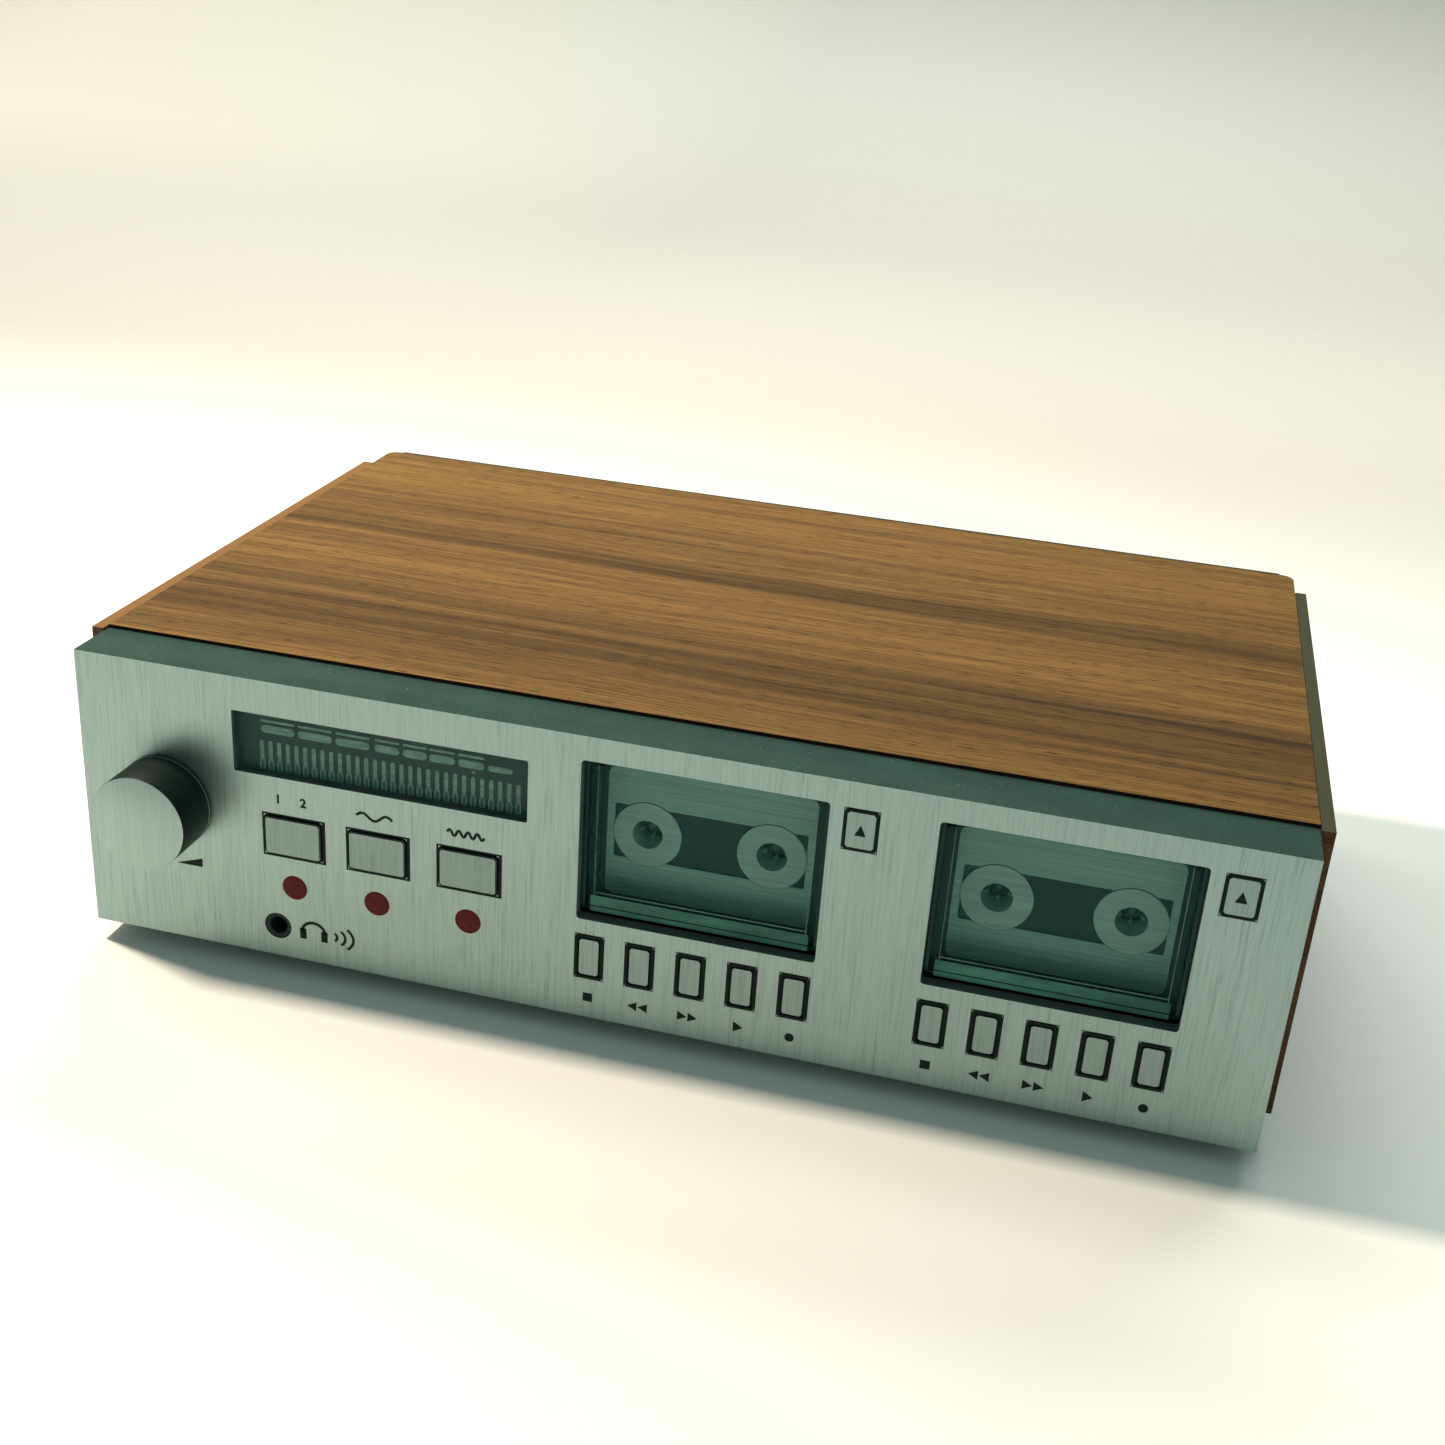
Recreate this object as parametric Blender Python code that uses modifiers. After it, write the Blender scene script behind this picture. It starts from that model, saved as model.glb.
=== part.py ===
"""Twin-well cassette deck in a walnut-sided case, built from separate pieces.

Metres, +Z up, front towards -Y."""

import math

import bmesh
import bpy
from mathutils import Matrix, Vector

# ---- driving sizes (every other size is derived from these) ----
fascia_width = 0.530
fascia_height = 0.1364
fascia_depth = 0.028
case_depth = 0.338
foot_height = 0.0137
foot_radius = 0.014

cassette_width = 0.1004
cassette_height = 0.0638
cassette_thickness = 0.012
hub_spacing = 0.0548

fascia_wall = 0.006
fascia_return = 0.003
sheet = 0.0015
top_thickness = 0.006
side_thickness = 0.0055
top_proud = 0.0015
skirt_lift = 0.0037

gap = 0.0003
slot_gap = 0.0005
overlap = 0.001
spare = 0.010

well_pitch = 0.1502
well_b_from_right = 0.0924
well_width = cassette_width + 0.0051
well_height = cassette_height + 0.0121
well_z = 0.0874
well_recess = 0.005
holder_wall = 0.0016
cassette_setback = 0.018
shelf_rise = 0.004
door_round = 0.005

label_width = 0.0912
label_inset = 0.0015
label_window = (0.0847, 0.0258)
label_thickness = 0.0005
reel_ring_radius = 0.0151
reel_bore_radius = 0.0067
reel_proud = 0.0011
reel_play = 0.0007
full_pack = 0.0200
small_pack = 0.0170
hub_wall = 0.0020
shell_wall = 0.0015
tooth_reach = 0.0021
tooth_width = 0.0013
tooth_length = 0.0030
spindle_engage = 0.0026
spindle_fin_radius = 0.0056
spindle_core = 0.0024
fin_width = 0.0010
fin_lead = 0.0022
pulley_radius = 0.010
rib_depth = 0.0032
rib_height = 0.0026
pane_bevel = 0.0012

knob_radius = 0.0222
knob_reach = 0.025
knob_from_left = 0.0407
knob_z = 0.0700
shaft_radius = 0.003
shaft_clearance = 0.001
shaft_fit = 0.0002
knob_chamfer = 0.0006
knob_line = (0.0014, 0.0022)
knob_line_depth = 0.0008
knob_wall = 0.006
pot_size = 0.024
pot_depth = 0.010
shaft_past_plate = 0.006

display_from_left = 0.1431
display_z = 0.1058
display_width = 0.1365
display_height = 0.0292
display_recess = 0.002
display_lap = 0.003
display_pane = 0.0022
display_pins = 8
display_pin_pitch = 0.012
display_pin = (0.004, 0.0025)

selectors_from_left = (0.1023, 0.1424, 0.1850)
selector_z = 0.0625
selector_width = 0.0282
selector_height = 0.0200
selector_gap = 0.0009
selector_proud = 0.0012

leds_from_left = (0.1020, 0.1417, 0.1849)
led_z = 0.0371
led_radius = 0.0057
led_dome = (0.0004, 0.0008)
led_shoulder = 0.0012

jack_from_left = 0.0929
jack_z = 0.0155
jack_radius = 0.0063
jack_bore = 0.0033
jack_body = (0.018, 0.016)
jack_past_plate = 0.016
jack_end_wall = 0.003

key_pitch = 0.0228
key_z = 0.0309
key_width = 0.0129
key_height = 0.0218
key_groove = 0.0021
key_proud = 0.0004
groove_depth = 0.0018

eject_gap = 0.0061
eject_z = 0.1151
eject_width = 0.0143
eject_height = 0.0186
eject_groove = 0.0013
button_corner = 0.0009
flange_lip = 0.0018
flange_thickness = 0.0012
stem_size = 0.004
stem_past_plate = 0.003

plate_y = 0.016
mechanism_gap = 0.003
mechanism_width = 0.116
flywheel_radius = 0.024
flywheel_offset = 0.018
flywheel_up = 0.013
flywheel_hub = 0.004
flywheel_stand = 0.0085
flywheel_rim = (0.003, 0.008)
flywheel_step = 0.001
capstan_radius = 0.0013
motor_radius = 0.0125
motor_offset = 0.036
motor_up = 0.010
motor_length = 0.024
motor_boss = 0.003
motor_edge = 0.0015
reel_cable_slot = (0.060, 0.010)

foot_inset = 0.040
foot_from_front = 0.050
foot_from_back = 0.035
top_gap = 0.0004
top_corner = 0.006
side_overlap = 0.004
side_set_back = 0.026
back_inset = 0.004
vent_width = 0.003
rear_vents = 12
rear_vent_pitch = 0.010
rear_vent_z = (0.072, 0.112)
floor_vents = 9
floor_vent_pitch = 0.022
floor_vent_y = (0.095, 0.135)
foot_taper = 0.0025
foot_edge = 0.002

jack_panel_from_left = 0.114
jack_panel_size = (0.100, 0.030)
jack_panel_z = 0.060
inlet_from_right = 0.069
inlet_size = (0.031, 0.024)
inlet_z = 0.040
flange_lap = 0.004
rear_sockets = 4
socket_collar = (0.0062, 0.0035)
socket_radius = 0.0046
socket_bore = (0.0028, 0.008)
jack_panel_thickness = 0.002
inlet_flange = 0.0025
inlet_depth = 0.014
inlet_recess = 0.011
plug_wall = 0.002

board_x = -0.021
board_y = 0.220
board_size = (0.222, 0.169)
standoff = 0.0065
standoff_radius = 0.0035
standoff_inset = 0.008
capacitors = 3
capacitor_size = (0.009, 0.026)
capacitor_pitch = 0.026
part_inset = 0.030
chips = 4
chip_size = (0.018, 0.008, 0.0045)
chip_pitch = 0.040
heat_sink_size = (0.040, 0.006, 0.032)
heat_sink_inset = (0.040, 0.063)
relay_size = (0.022, 0.014, 0.015)
relay_inset = (0.039, 0.025)
transformer_from_right = 0.090
transformer_y = 0.251
transformer_size = (0.064, 0.056, 0.052)
coil_size = (0.038, 0.076)
coil_z = (0.011, 0.041)

# ---- world place of the front face and of the fascia's lower edge ----
rear_reach = 0.012
front_y = (knob_reach - case_depth - rear_reach) / 2
sill_z = foot_height - skirt_lift

# ---- derived levels, measured from the fascia's front face and lower edge ----
half_width = fascia_width / 2
plate_back = plate_y + sheet
floor_z = skirt_lift + sheet + gap
top_z = fascia_height + top_proud
top_low = top_z - top_thickness
well_low = well_z - well_height / 2
well_high = well_z + well_height / 2
flywheel_z = well_low + flywheel_up
door_width = well_width - 2 * slot_gap
door_low = well_low + slot_gap
door_high = well_high - slot_gap
hinge_y = well_recess + door_round
hinge_z = door_low + door_round
cassette_low = well_low + shelf_rise
cassette_high = cassette_low + cassette_height
cassette_front = cassette_setback
cassette_back = cassette_front + cassette_thickness
mechanism_y = cassette_back + mechanism_gap
plate_rear = mechanism_y + sheet
hub_z = cassette_low + cassette_height / 2 + 0.0011
hub_radius = reel_bore_radius + hub_wall
well_b_x = half_width - well_b_from_right
well_x = {"a": well_b_x - well_pitch, "b": well_b_x}
knob_x = knob_from_left - half_width
display_x = display_from_left - half_width
jack_panel_x = jack_panel_from_left - half_width
inlet_x = half_width - inlet_from_right
transformer_x = half_width - transformer_from_right
jack_x = jack_from_left - half_width
selector_x = [offset - half_width for offset in selectors_from_left]
led_x = [offset - half_width for offset in leds_from_left]
key_names = ("stop", "rewind", "forward", "play", "record")


def clear_scene():
    for thing in list(bpy.data.objects):
        bpy.data.objects.remove(thing, do_unlink=True)


def make_collection(name):
    group = bpy.data.collections.new(name)
    bpy.context.scene.collection.children.link(group)
    return group


def make_material(name, color, metallic, roughness):
    material = bpy.data.materials.new(name)
    material.use_nodes = True
    shader = material.node_tree.nodes["Principled BSDF"]
    shader.inputs["Base Color"].default_value = (*color, 1.0)
    shader.inputs["Metallic"].default_value = metallic
    shader.inputs["Roughness"].default_value = roughness
    return material


def world(x, y, z):
    """A place given from the middle of the fascia's front lower edge, in the world."""
    return Vector((x, y + front_y, z + sill_z))


def around(middle, size):
    return (middle - size / 2, middle + size / 2)


# ---- meshes ----
def box(x, y, z, corner=0.0, segments=2, into=None):
    """A box between pairs of limits, its four edges along y rounded by corner."""
    mesh = into or bmesh.new()
    size = Vector((x[1] - x[0], y[1] - y[0], z[1] - z[0]))
    centre = world((x[0] + x[1]) / 2, (y[0] + y[1]) / 2, (z[0] + z[1]) / 2)
    made = bmesh.ops.create_cube(mesh, size=1.0, matrix=Matrix.LocRotScale(centre, None, size))
    if corner:
        edges = edges_along(made["verts"], Vector((0, 1, 0)))
        bmesh.ops.bevel(mesh, geom=edges, offset=corner, segments=segments, profile=0.5, affect="EDGES")
    return mesh


def edges_along(verts, direction, keep=None):
    """The edges of these vertices that run along a direction, and whose middle passes keep."""
    found = []
    for edge in {edge for vert in verts for edge in vert.link_edges}:
        run = edge.verts[1].co - edge.verts[0].co
        middle = (edge.verts[0].co + edge.verts[1].co) / 2
        if abs(run.normalized().dot(direction)) > 0.99 and (keep is None or keep(middle)):
            found.append(edge)
    return sorted(found, key=lambda edge: tuple(edge.verts[0].co + edge.verts[1].co))


def rod(cx, cz, y, radius, count, into=None):
    """A cylinder along y."""
    mesh = into or bmesh.new()
    turn = Matrix.Rotation(math.pi / 2, 4, "X")
    matrix = Matrix.Translation(world(cx, sum(y) / 2, cz)) @ turn
    depth = y[1] - y[0]
    bmesh.ops.create_cone(
        mesh, cap_ends=True, segments=count, radius1=radius, radius2=radius, depth=depth, matrix=matrix
    )
    return mesh


def post(cx, cy, z, radius, count, into=None):
    """A cylinder along z."""
    mesh = into or bmesh.new()
    matrix = Matrix.Translation(world(cx, cy, sum(z) / 2))
    depth = z[1] - z[0]
    bmesh.ops.create_cone(
        mesh, cap_ends=True, segments=count, radius1=radius, radius2=radius, depth=depth, matrix=matrix
    )
    return mesh


def stepped(cx, cz, sections):
    """A moulded button: sections are (width, height, front y, back y), each one behind the last."""
    width, height, front, back = sections[0]
    mesh = box(around(cx, width), (front, back), around(cz, height), button_corner, 1)
    end = max(mesh.faces, key=lambda face: face.calc_center_median().y)
    for wide, high, front, back in sections[1:]:
        scale = (wide / width, 1.0, high / height)
        for matrix in (around_centre(cx, front, cz, scale), Matrix.Translation((0, back - front, 0))):
            end = bmesh.ops.extrude_discrete_faces(mesh, faces=[end])["faces"][0]
            bmesh.ops.transform(mesh, matrix=matrix, verts=end.verts)
        width, height = wide, high
    return mesh


def around_centre(cx, y, cz, scale):
    centre = world(cx, y, cz)
    return Matrix.Translation(centre) @ Matrix.Diagonal((*scale, 1.0)) @ Matrix.Translation(-centre)


# ---- objects ----
def put(name, mesh, group, material=None, pivot=None):
    """Make an object of a mesh in world coordinates. pivot becomes its origin."""
    data = bpy.data.meshes.new(name)
    origin = world(*pivot) if pivot else Vector((0.0, 0.0, 0.0))
    bmesh.ops.transform(mesh, matrix=Matrix.Translation(-origin), verts=mesh.verts)
    mesh.to_mesh(data)
    mesh.free()
    thing = bpy.data.objects.new(name, data)
    thing.location = origin
    group.objects.link(thing)
    if material:
        data.materials.append(material)
    return thing


def turned(name, centre, profile, count, material, axis="Y", bored=False):
    """A turned piece about an axis through centre.

    profile is (radius, level) from the low end to the high end."""
    points = list(reversed(profile))
    if not bored:
        points = [(0.0, points[0][1]), *points, (0.0, points[-1][1])]
    mesh = bmesh.new()
    verts = []
    for radius, level in points:
        place = (radius, level, 0.0) if axis == "Y" else (radius, 0.0, level)
        verts.append(mesh.verts.new(place))
    for one, two in zip(verts, verts[1:]):
        mesh.edges.new((one, two))
    if bored:
        mesh.edges.new((verts[-1], verts[0]))
    data = bpy.data.meshes.new(name)
    mesh.to_mesh(data)
    mesh.free()
    data.materials.append(material)
    thing = bpy.data.objects.new(name, data)
    thing.location = world(*centre)
    nodes.objects.link(thing)
    screw = thing.modifiers.new("turn", "SCREW")
    screw.axis = axis
    screw.steps = count
    screw.render_steps = count
    screw.use_merge_vertices = True
    screw.merge_threshold = 0.00001
    return thing


def use_tool(target, mesh, operation):
    """Cut a mesh out of a piece, or fuse it on, with a hidden tool body."""
    tool = put(f"tool_{len(tools.objects):03d}", mesh, tools)
    tool.hide_render = True
    tool.display_type = "WIRE"
    modifier = target.modifiers.new(operation.lower(), "BOOLEAN")
    modifier.operation = operation
    modifier.solver = "EXACT"
    modifier.object = tool


def cut(target, mesh):
    use_tool(target, mesh, "DIFFERENCE")


def fuse(target, mesh):
    use_tool(target, mesh, "UNION")


def key_x(side, number):
    """Middle of a transport key: the first key's left edge lines up with the well's left edge."""
    return well_x[side] - well_width / 2 + key_width / 2 + number * key_pitch


def eject_x(side):
    return well_x[side] + well_width / 2 + eject_gap + eject_width / 2


def hub_x(side, hand):
    return well_x[side] + hand * hub_spacing / 2


# ---- case ----
def build_fascia():
    outside = box((-half_width, half_width), (0, fascia_depth), (0, fascia_height))
    fascia = put("fascia", outside, nodes, metal)
    inner_x = (fascia_return - half_width, half_width - fascia_return)
    inner_z = (fascia_return, fascia_height - fascia_return)
    cut(fascia, box(inner_x, (fascia_wall, fascia_depth + spare), inner_z))
    y = (-spare, fascia_wall + spare / 2)
    holes = bmesh.new()
    for side in well_x:
        box(around(well_x[side], well_width), y, (well_low, well_high), 0.0015, into=holes)
        box(around(eject_x(side), eject_width), y, around(eject_z, eject_height), 0.0012, into=holes)
        for number in range(len(key_names)):
            box(around(key_x(side, number), key_width), y, around(key_z, key_height), 0.0012, into=holes)
    for x in selector_x:
        box(around(x, selector_width), y, around(selector_z, selector_height), 0.0018, into=holes)
    for x in led_x:
        rod(x, led_z, y, led_radius + gap, 20, holes)
    rod(jack_x, jack_z, y, jack_radius + gap, 20, holes)
    rod(knob_x, knob_z, y, shaft_radius + shaft_clearance, 16, holes)
    box(around(display_x, display_width), y, around(display_z, display_height), 0.0008, into=holes)
    cut(fascia, holes)


def build_front_plate():
    """The steel plate behind the fascia that guides the button stems and carries what is behind it."""
    edge_x = half_width - fascia_return - gap
    z = (fascia_return + gap, fascia_height - fascia_return - gap)
    plate = put("front_subchassis", box((-edge_x, edge_x), (plate_y, plate_back), z), nodes, steel)
    y = (plate_y - spare, plate_back + spare)
    guide = stem_size + 2 * slot_gap
    holes = bmesh.new()
    well_hole = (well_low - slot_gap, well_high + slot_gap)
    for side in well_x:
        box(around(well_x[side], well_width + 2 * slot_gap), y, well_hole, into=holes)
        box(around(eject_x(side), guide), y, around(eject_z, guide), into=holes)
        for number in range(len(key_names)):
            box(around(key_x(side, number), guide), y, around(key_z, guide), into=holes)
    for x in selector_x:
        box(around(x, guide), y, around(selector_z, guide), into=holes)
    box(around(jack_x, jack_body[0] + 2 * gap), y, around(jack_z, jack_body[1] + 2 * gap), into=holes)
    rod(knob_x, knob_z, y, shaft_radius + shaft_clearance, 16, holes)
    cut(plate, holes)


def build_base_pan():
    y = (fascia_depth + gap, case_depth)
    high = top_low - gap
    pan = put("base_pan", box((-half_width, half_width), y, (skirt_lift, high)), nodes, steel)
    inner_x = (sheet - half_width, half_width - sheet)
    cut(pan, box(inner_x, (y[0] - spare, y[1] + spare), (floor_z - gap, high + spare)))
    slots = bmesh.new()
    z = (skirt_lift - spare, skirt_lift + spare)
    for number in range(floor_vents):
        x = (number - (floor_vents - 1) / 2) * floor_vent_pitch
        box(around(x, vent_width), floor_vent_y, z, into=slots)
    cut(pan, slots)


def build_wood():
    y = (fascia_depth + top_gap, case_depth)
    mesh = box((-half_width, half_width), y, (top_low, top_z))
    rear = world(0, case_depth, 0).y
    corners = edges_along(mesh.verts, Vector((0, 0, 1)), lambda middle: abs(middle.y - rear) < gap)
    bmesh.ops.bevel(mesh, geom=corners, offset=top_corner, segments=4, profile=0.5, affect="EDGES")
    put("top_panel", mesh, nodes, walnut)
    near = half_width + gap
    y = (fascia_depth - side_overlap, case_depth - side_set_back)
    for hand, name in ((-1, "left"), (1, "right")):
        x = sorted((hand * near, hand * (near + side_thickness)))
        put(f"side_panel_{name}", box(x, y, (skirt_lift, top_z - gap)), nodes, walnut)


def build_back_panel():
    edge = half_width - back_inset
    y = (case_depth + gap, case_depth + gap + sheet)
    sheet_metal = box((-edge, edge), y, (skirt_lift, top_z), back_inset)
    panel = put("back_panel", sheet_metal, nodes, steel)
    y = (y[0] - spare, y[1] + spare)
    holes = bmesh.new()
    box(around(jack_panel_x, jack_panel_size[0] - 2 * flange_lap), y,
        around(jack_panel_z, jack_panel_size[1] - 2 * flange_lap), into=holes)
    box(around(inlet_x, inlet_size[0] - 2 * flange_lap), y,
        around(inlet_z, inlet_size[1] - 2 * flange_lap), into=holes)
    for number in range(rear_vents):
        x = (number - (rear_vents - 1) / 2) * rear_vent_pitch
        box(around(x, vent_width), y, rear_vent_z, into=holes)
    cut(panel, holes)


def build_rear_sockets():
    outside = case_depth + 2 * gap + sheet
    inset = flange_lap + gap
    size = jack_panel_size
    y = (outside, outside + jack_panel_thickness)
    plate = box(around(jack_panel_x, size[0]), y, around(jack_panel_z, size[1]), jack_panel_thickness)
    panel = put("rear_jack_panel", plate, nodes, black)
    inward = (case_depth - socket_bore[1], outside + overlap)
    plug_z = around(jack_panel_z, size[1] - 2 * inset)
    fuse(panel, box(around(jack_panel_x, size[0] - 2 * inset), inward, plug_z))
    end = case_depth + rear_reach
    collars = bmesh.new()
    barrels = bmesh.new()
    bores = bmesh.new()
    for number in range(rear_sockets):
        x = jack_panel_x + (number - (rear_sockets - 1) / 2) * size[0] / rear_sockets
        collar = (outside + overlap, outside + socket_collar[1])
        rod(x, jack_panel_z, collar, socket_collar[0], 16, collars)
        rod(x, jack_panel_z, (outside + overlap, end), socket_radius, 16, barrels)
        rod(x, jack_panel_z, (end - socket_bore[1], end + spare), socket_bore[0], 12, bores)
    fuse(panel, collars)
    fuse(panel, barrels)
    cut(panel, bores)
    size = inlet_size
    y = (outside, outside + inlet_flange)
    flange = box(around(inlet_x, size[0]), y, around(inlet_z, size[1]), 0.0015)
    inlet = put("mains_inlet", flange, nodes, black)
    inward = (case_depth - inlet_depth, outside + overlap)
    plug_z = around(inlet_z, size[1] - 2 * inset)
    fuse(inlet, box(around(inlet_x, size[0] - 2 * inset), inward, plug_z))
    wall = inset + plug_wall
    recess_y = (case_depth - inlet_recess, outside + spare)
    recess_z = around(inlet_z, size[1] - 2 * wall)
    cut(inlet, box(around(inlet_x, size[0] - 2 * wall), recess_y, recess_z, plug_wall))


def build_feet():
    high = skirt_lift - gap
    low = -sill_z
    profile = (
        (foot_radius - foot_taper, low),
        (foot_radius - foot_edge / 2, low + foot_edge),
        (foot_radius, high - foot_edge),
        (foot_radius, high),
    )
    for across, x in (("left", foot_inset - half_width), ("right", half_width - foot_inset)):
        for along, y in (("front", foot_from_front), ("rear", case_depth - foot_from_back)):
            turned(f"foot_{along}_{across}", (x, y, 0), profile, 24, rubber, "Z")


# ---- controls ----
def build_level_control():
    front = -knob_reach
    back = -2 * gap
    groove = knob_radius - knob_line_depth
    bore = shaft_radius + shaft_fit
    profile = (
        (knob_radius - knob_chamfer, front),
        (knob_radius, front + knob_chamfer),
        (knob_radius, back - knob_line[1]),
        (groove, back - knob_line[1]),
        (groove, back - knob_line[0]),
        (knob_radius, back - knob_line[0]),
        (knob_radius, back),
        (bore, back),
        (bore, front + knob_wall),
    )
    centre = (knob_x, 0, knob_z)
    turned("level_knob", centre, profile, 48, metal)
    profile = (
        (shaft_radius, front + knob_wall + slot_gap),
        (shaft_radius, plate_back + shaft_past_plate),
    )
    turned("level_pot_shaft", centre, profile, 20, steel)
    y = (plate_back + gap, plate_back + gap + pot_depth)
    body = box(around(knob_x, pot_size), y, around(knob_z, pot_size), plug_wall)
    pot = put("level_pot", body, nodes, steel)
    cut(pot, rod(knob_x, knob_z, (y[0] - spare, y[1] - plug_wall), shaft_radius + gap, 20))


def behind_wall(width, height):
    """The hidden rear of a push button: a stop flange behind the fascia wall, then a stem in its guide."""
    flange = fascia_wall + slot_gap
    back = flange + flange_thickness
    return [
        (width + flange_lip, height + flange_lip, flange, back),
        (stem_size, stem_size, back, plate_back + stem_past_plate),
    ]


def build_button(name, x, z, face, body, proud, step):
    """A push button: a raised face, then a body in the fascia's slot, then the hidden rear."""
    sections = [(face[0], face[1], -proud, step), (body[0], body[1], step, fascia_wall + slot_gap)]
    mesh = stepped(x, z, sections + behind_wall(*body))
    put(name, mesh, nodes, metal, (x, 0, z))


def build_buttons():
    body = (selector_width - 2 * selector_gap, selector_height - 2 * selector_gap)
    face = (body[0] - 0.0008, body[1] - 0.0008)
    step = -selector_proud / 2
    for number, x in enumerate(selector_x):
        name = f"selector_button_{number + 1}"
        build_button(name, x, selector_z, face, body, selector_proud, step)
    for side in well_x:
        body = (key_width - 2 * gap, key_height - 2 * gap)
        face = (key_width - 2 * key_groove, key_height - 2 * key_groove)
        for number, name in enumerate(key_names):
            x = key_x(side, number)
            build_button(f"key_{name}_{side}", x, key_z, face, body, key_proud, groove_depth)
        body = (eject_width - 2 * gap, eject_height - 2 * gap)
        face = (eject_width - 2 * eject_groove, eject_height - 2 * eject_groove)
        x = eject_x(side)
        build_button(f"eject_button_{side}", x, eject_z, face, body, key_proud, groove_depth)


def build_leds():
    flange = fascia_wall + slot_gap
    profile = (
        (led_radius / 2, -led_dome[0]),
        (led_radius - led_dome[1], 0.0),
        (led_radius, led_dome[1]),
        (led_radius, flange),
        (led_radius + led_shoulder, flange),
        (led_radius + led_shoulder, flange + flange_thickness),
        (led_radius - led_shoulder, flange + flange_thickness),
        (led_radius - led_shoulder, plate_y - gap),
    )
    for number, x in enumerate(led_x):
        turned(f"indicator_led_{number + 1}", (x, 0, led_z), profile, 20, red)


def build_jack():
    shoulder = fascia_wall + gap
    end = plate_back + jack_past_plate
    body = box(around(jack_x, jack_body[0]), (shoulder, end), around(jack_z, jack_body[1]), 0.001)
    jack = put("headphone_jack", body, nodes, black)
    fuse(jack, rod(jack_x, jack_z, (gap, shoulder + overlap), jack_radius, 24))
    cut(jack, rod(jack_x, jack_z, (-spare, end - jack_end_wall), jack_bore, 24))


def build_display():
    width = display_width - 2 * gap
    height = display_height - 2 * gap
    y = (display_recess, display_recess + display_pane)
    pane = box(around(display_x, width), y, around(display_z, height), 0.0006)
    put("display_glass", pane, nodes, glass)
    y = (fascia_wall + gap, plate_y - gap)
    width = display_width + 2 * display_lap
    height = display_height + 2 * display_lap
    module = put("display_module", box(around(display_x, width), y, around(display_z, height)), nodes, black)
    pins = bmesh.new()
    low = display_z - height / 2
    pin_y = around((y[0] + y[1]) / 2, sheet)
    for number in range(display_pins):
        x = display_x + (number - (display_pins - 1) / 2) * display_pin_pitch
        box(around(x, display_pin[0]), pin_y, (low - display_pin[1], low + overlap), into=pins)
    fuse(module, pins)


# ---- cassette wells ----
def build_door(side):
    """The door swings out on its rounded lower edge and carries the cassette in a holder behind the pane."""
    mid = well_x[side]
    pivot = (mid, hinge_y, hinge_z)
    x = around(mid, door_width)
    ring_back = hinge_y + overlap
    mesh = box(x, (well_recess, ring_back), (door_low, door_high))
    lower = world(mid, well_recess, door_low)

    def at_lower_edge(middle):
        return abs(middle.y - lower.y) + abs(middle.z - lower.z) < gap

    edges = edges_along(mesh.verts, Vector((1, 0, 0)), at_lower_edge)
    bmesh.ops.bevel(mesh, geom=edges, offset=door_round, segments=6, profile=0.5, affect="EDGES")
    door = put(f"door_frame_{side}", mesh, nodes, smoke, pivot)
    fuse(door, box(x, (hinge_y, cassette_back + gap), (door_low + slot_gap, cassette_high - overlap)))
    inner = door_width - 2 * holder_wall
    shelf = cassette_low - gap
    rib_y = (cassette_front - rib_depth, cassette_front - gap)
    above = door_high + spare
    cut(door, box(around(mid, inner), (rib_y[1], cassette_back + spare), (shelf, above)))
    cut(door, box(around(mid, inner), (ring_back - gap, rib_y[0]), (shelf, above)))
    opening = (rib_y[0] - overlap, rib_y[1] + overlap)
    cut(door, box(around(mid, inner - 2 * rib_height), opening, (shelf + label_inset - gap, above)))
    pane_z = (shelf, door_high - holder_wall)
    cut(door, box(around(mid, inner), (well_recess - spare, ring_back + gap), pane_z))
    width = inner - 2 * gap
    height = pane_z[1] - pane_z[0] - 2 * gap
    front = well_recess + gap
    sections = (
        (width - 2 * pane_bevel, height - 2 * pane_bevel, front, front + pane_bevel),
        (width, height, front + pane_bevel, hinge_y - overlap),
    )
    put(f"door_window_{side}", stepped(mid, sum(pane_z) / 2, sections), nodes, glass, pivot)
    return pivot


def build_cassette(side, pivot):
    mid = well_x[side]
    y = (cassette_front, cassette_back)
    inner_y = (y[0] + shell_wall, y[1] - shell_wall)
    body = box(around(mid, cassette_width), y, (cassette_low, cassette_high), 0.002)
    shell = put(f"cassette_shell_{side}", body, nodes, smoke, pivot)
    inner_z = (cassette_low + shell_wall, cassette_high - shell_wall)
    cut(shell, box(around(mid, cassette_width - 2 * shell_wall), inner_y, inner_z))
    level = (y[0] - gap - label_thickness, y[0] - gap)
    through = (level[0] - spare, level[1] + spare)
    label_z = (cassette_low + label_inset, cassette_high - label_inset / 2)
    plate = box(around(mid, label_width), level, label_z, 0.003)
    label = put(f"cassette_label_{side}", plate, nodes, metal, pivot)
    cut(label, box(around(mid, label_window[0]), through, around(hub_z, label_window[1]), 0.001))
    ring_hole = reel_ring_radius + gap
    hub_hole = hub_radius + gap
    holes = bmesh.new()
    rounds = bmesh.new()
    for hand in (-1, 1):
        x = hub_x(side, hand)
        rod(x, hub_z, (y[0] - spare, inner_y[0] + overlap), ring_hole, 36, holes)
        rod(x, hub_z, (inner_y[1] - overlap, y[1] + spare), hub_hole, 28, holes)
        rod(x, hub_z, through, ring_hole, 36, rounds)
    head_slot = (y[0] + 0.004, y[1] - 0.004)
    box(around(mid, 0.016), head_slot, (cassette_low - spare, inner_z[0] + overlap), into=holes)
    cut(shell, holes)
    cut(label, rounds)


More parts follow.
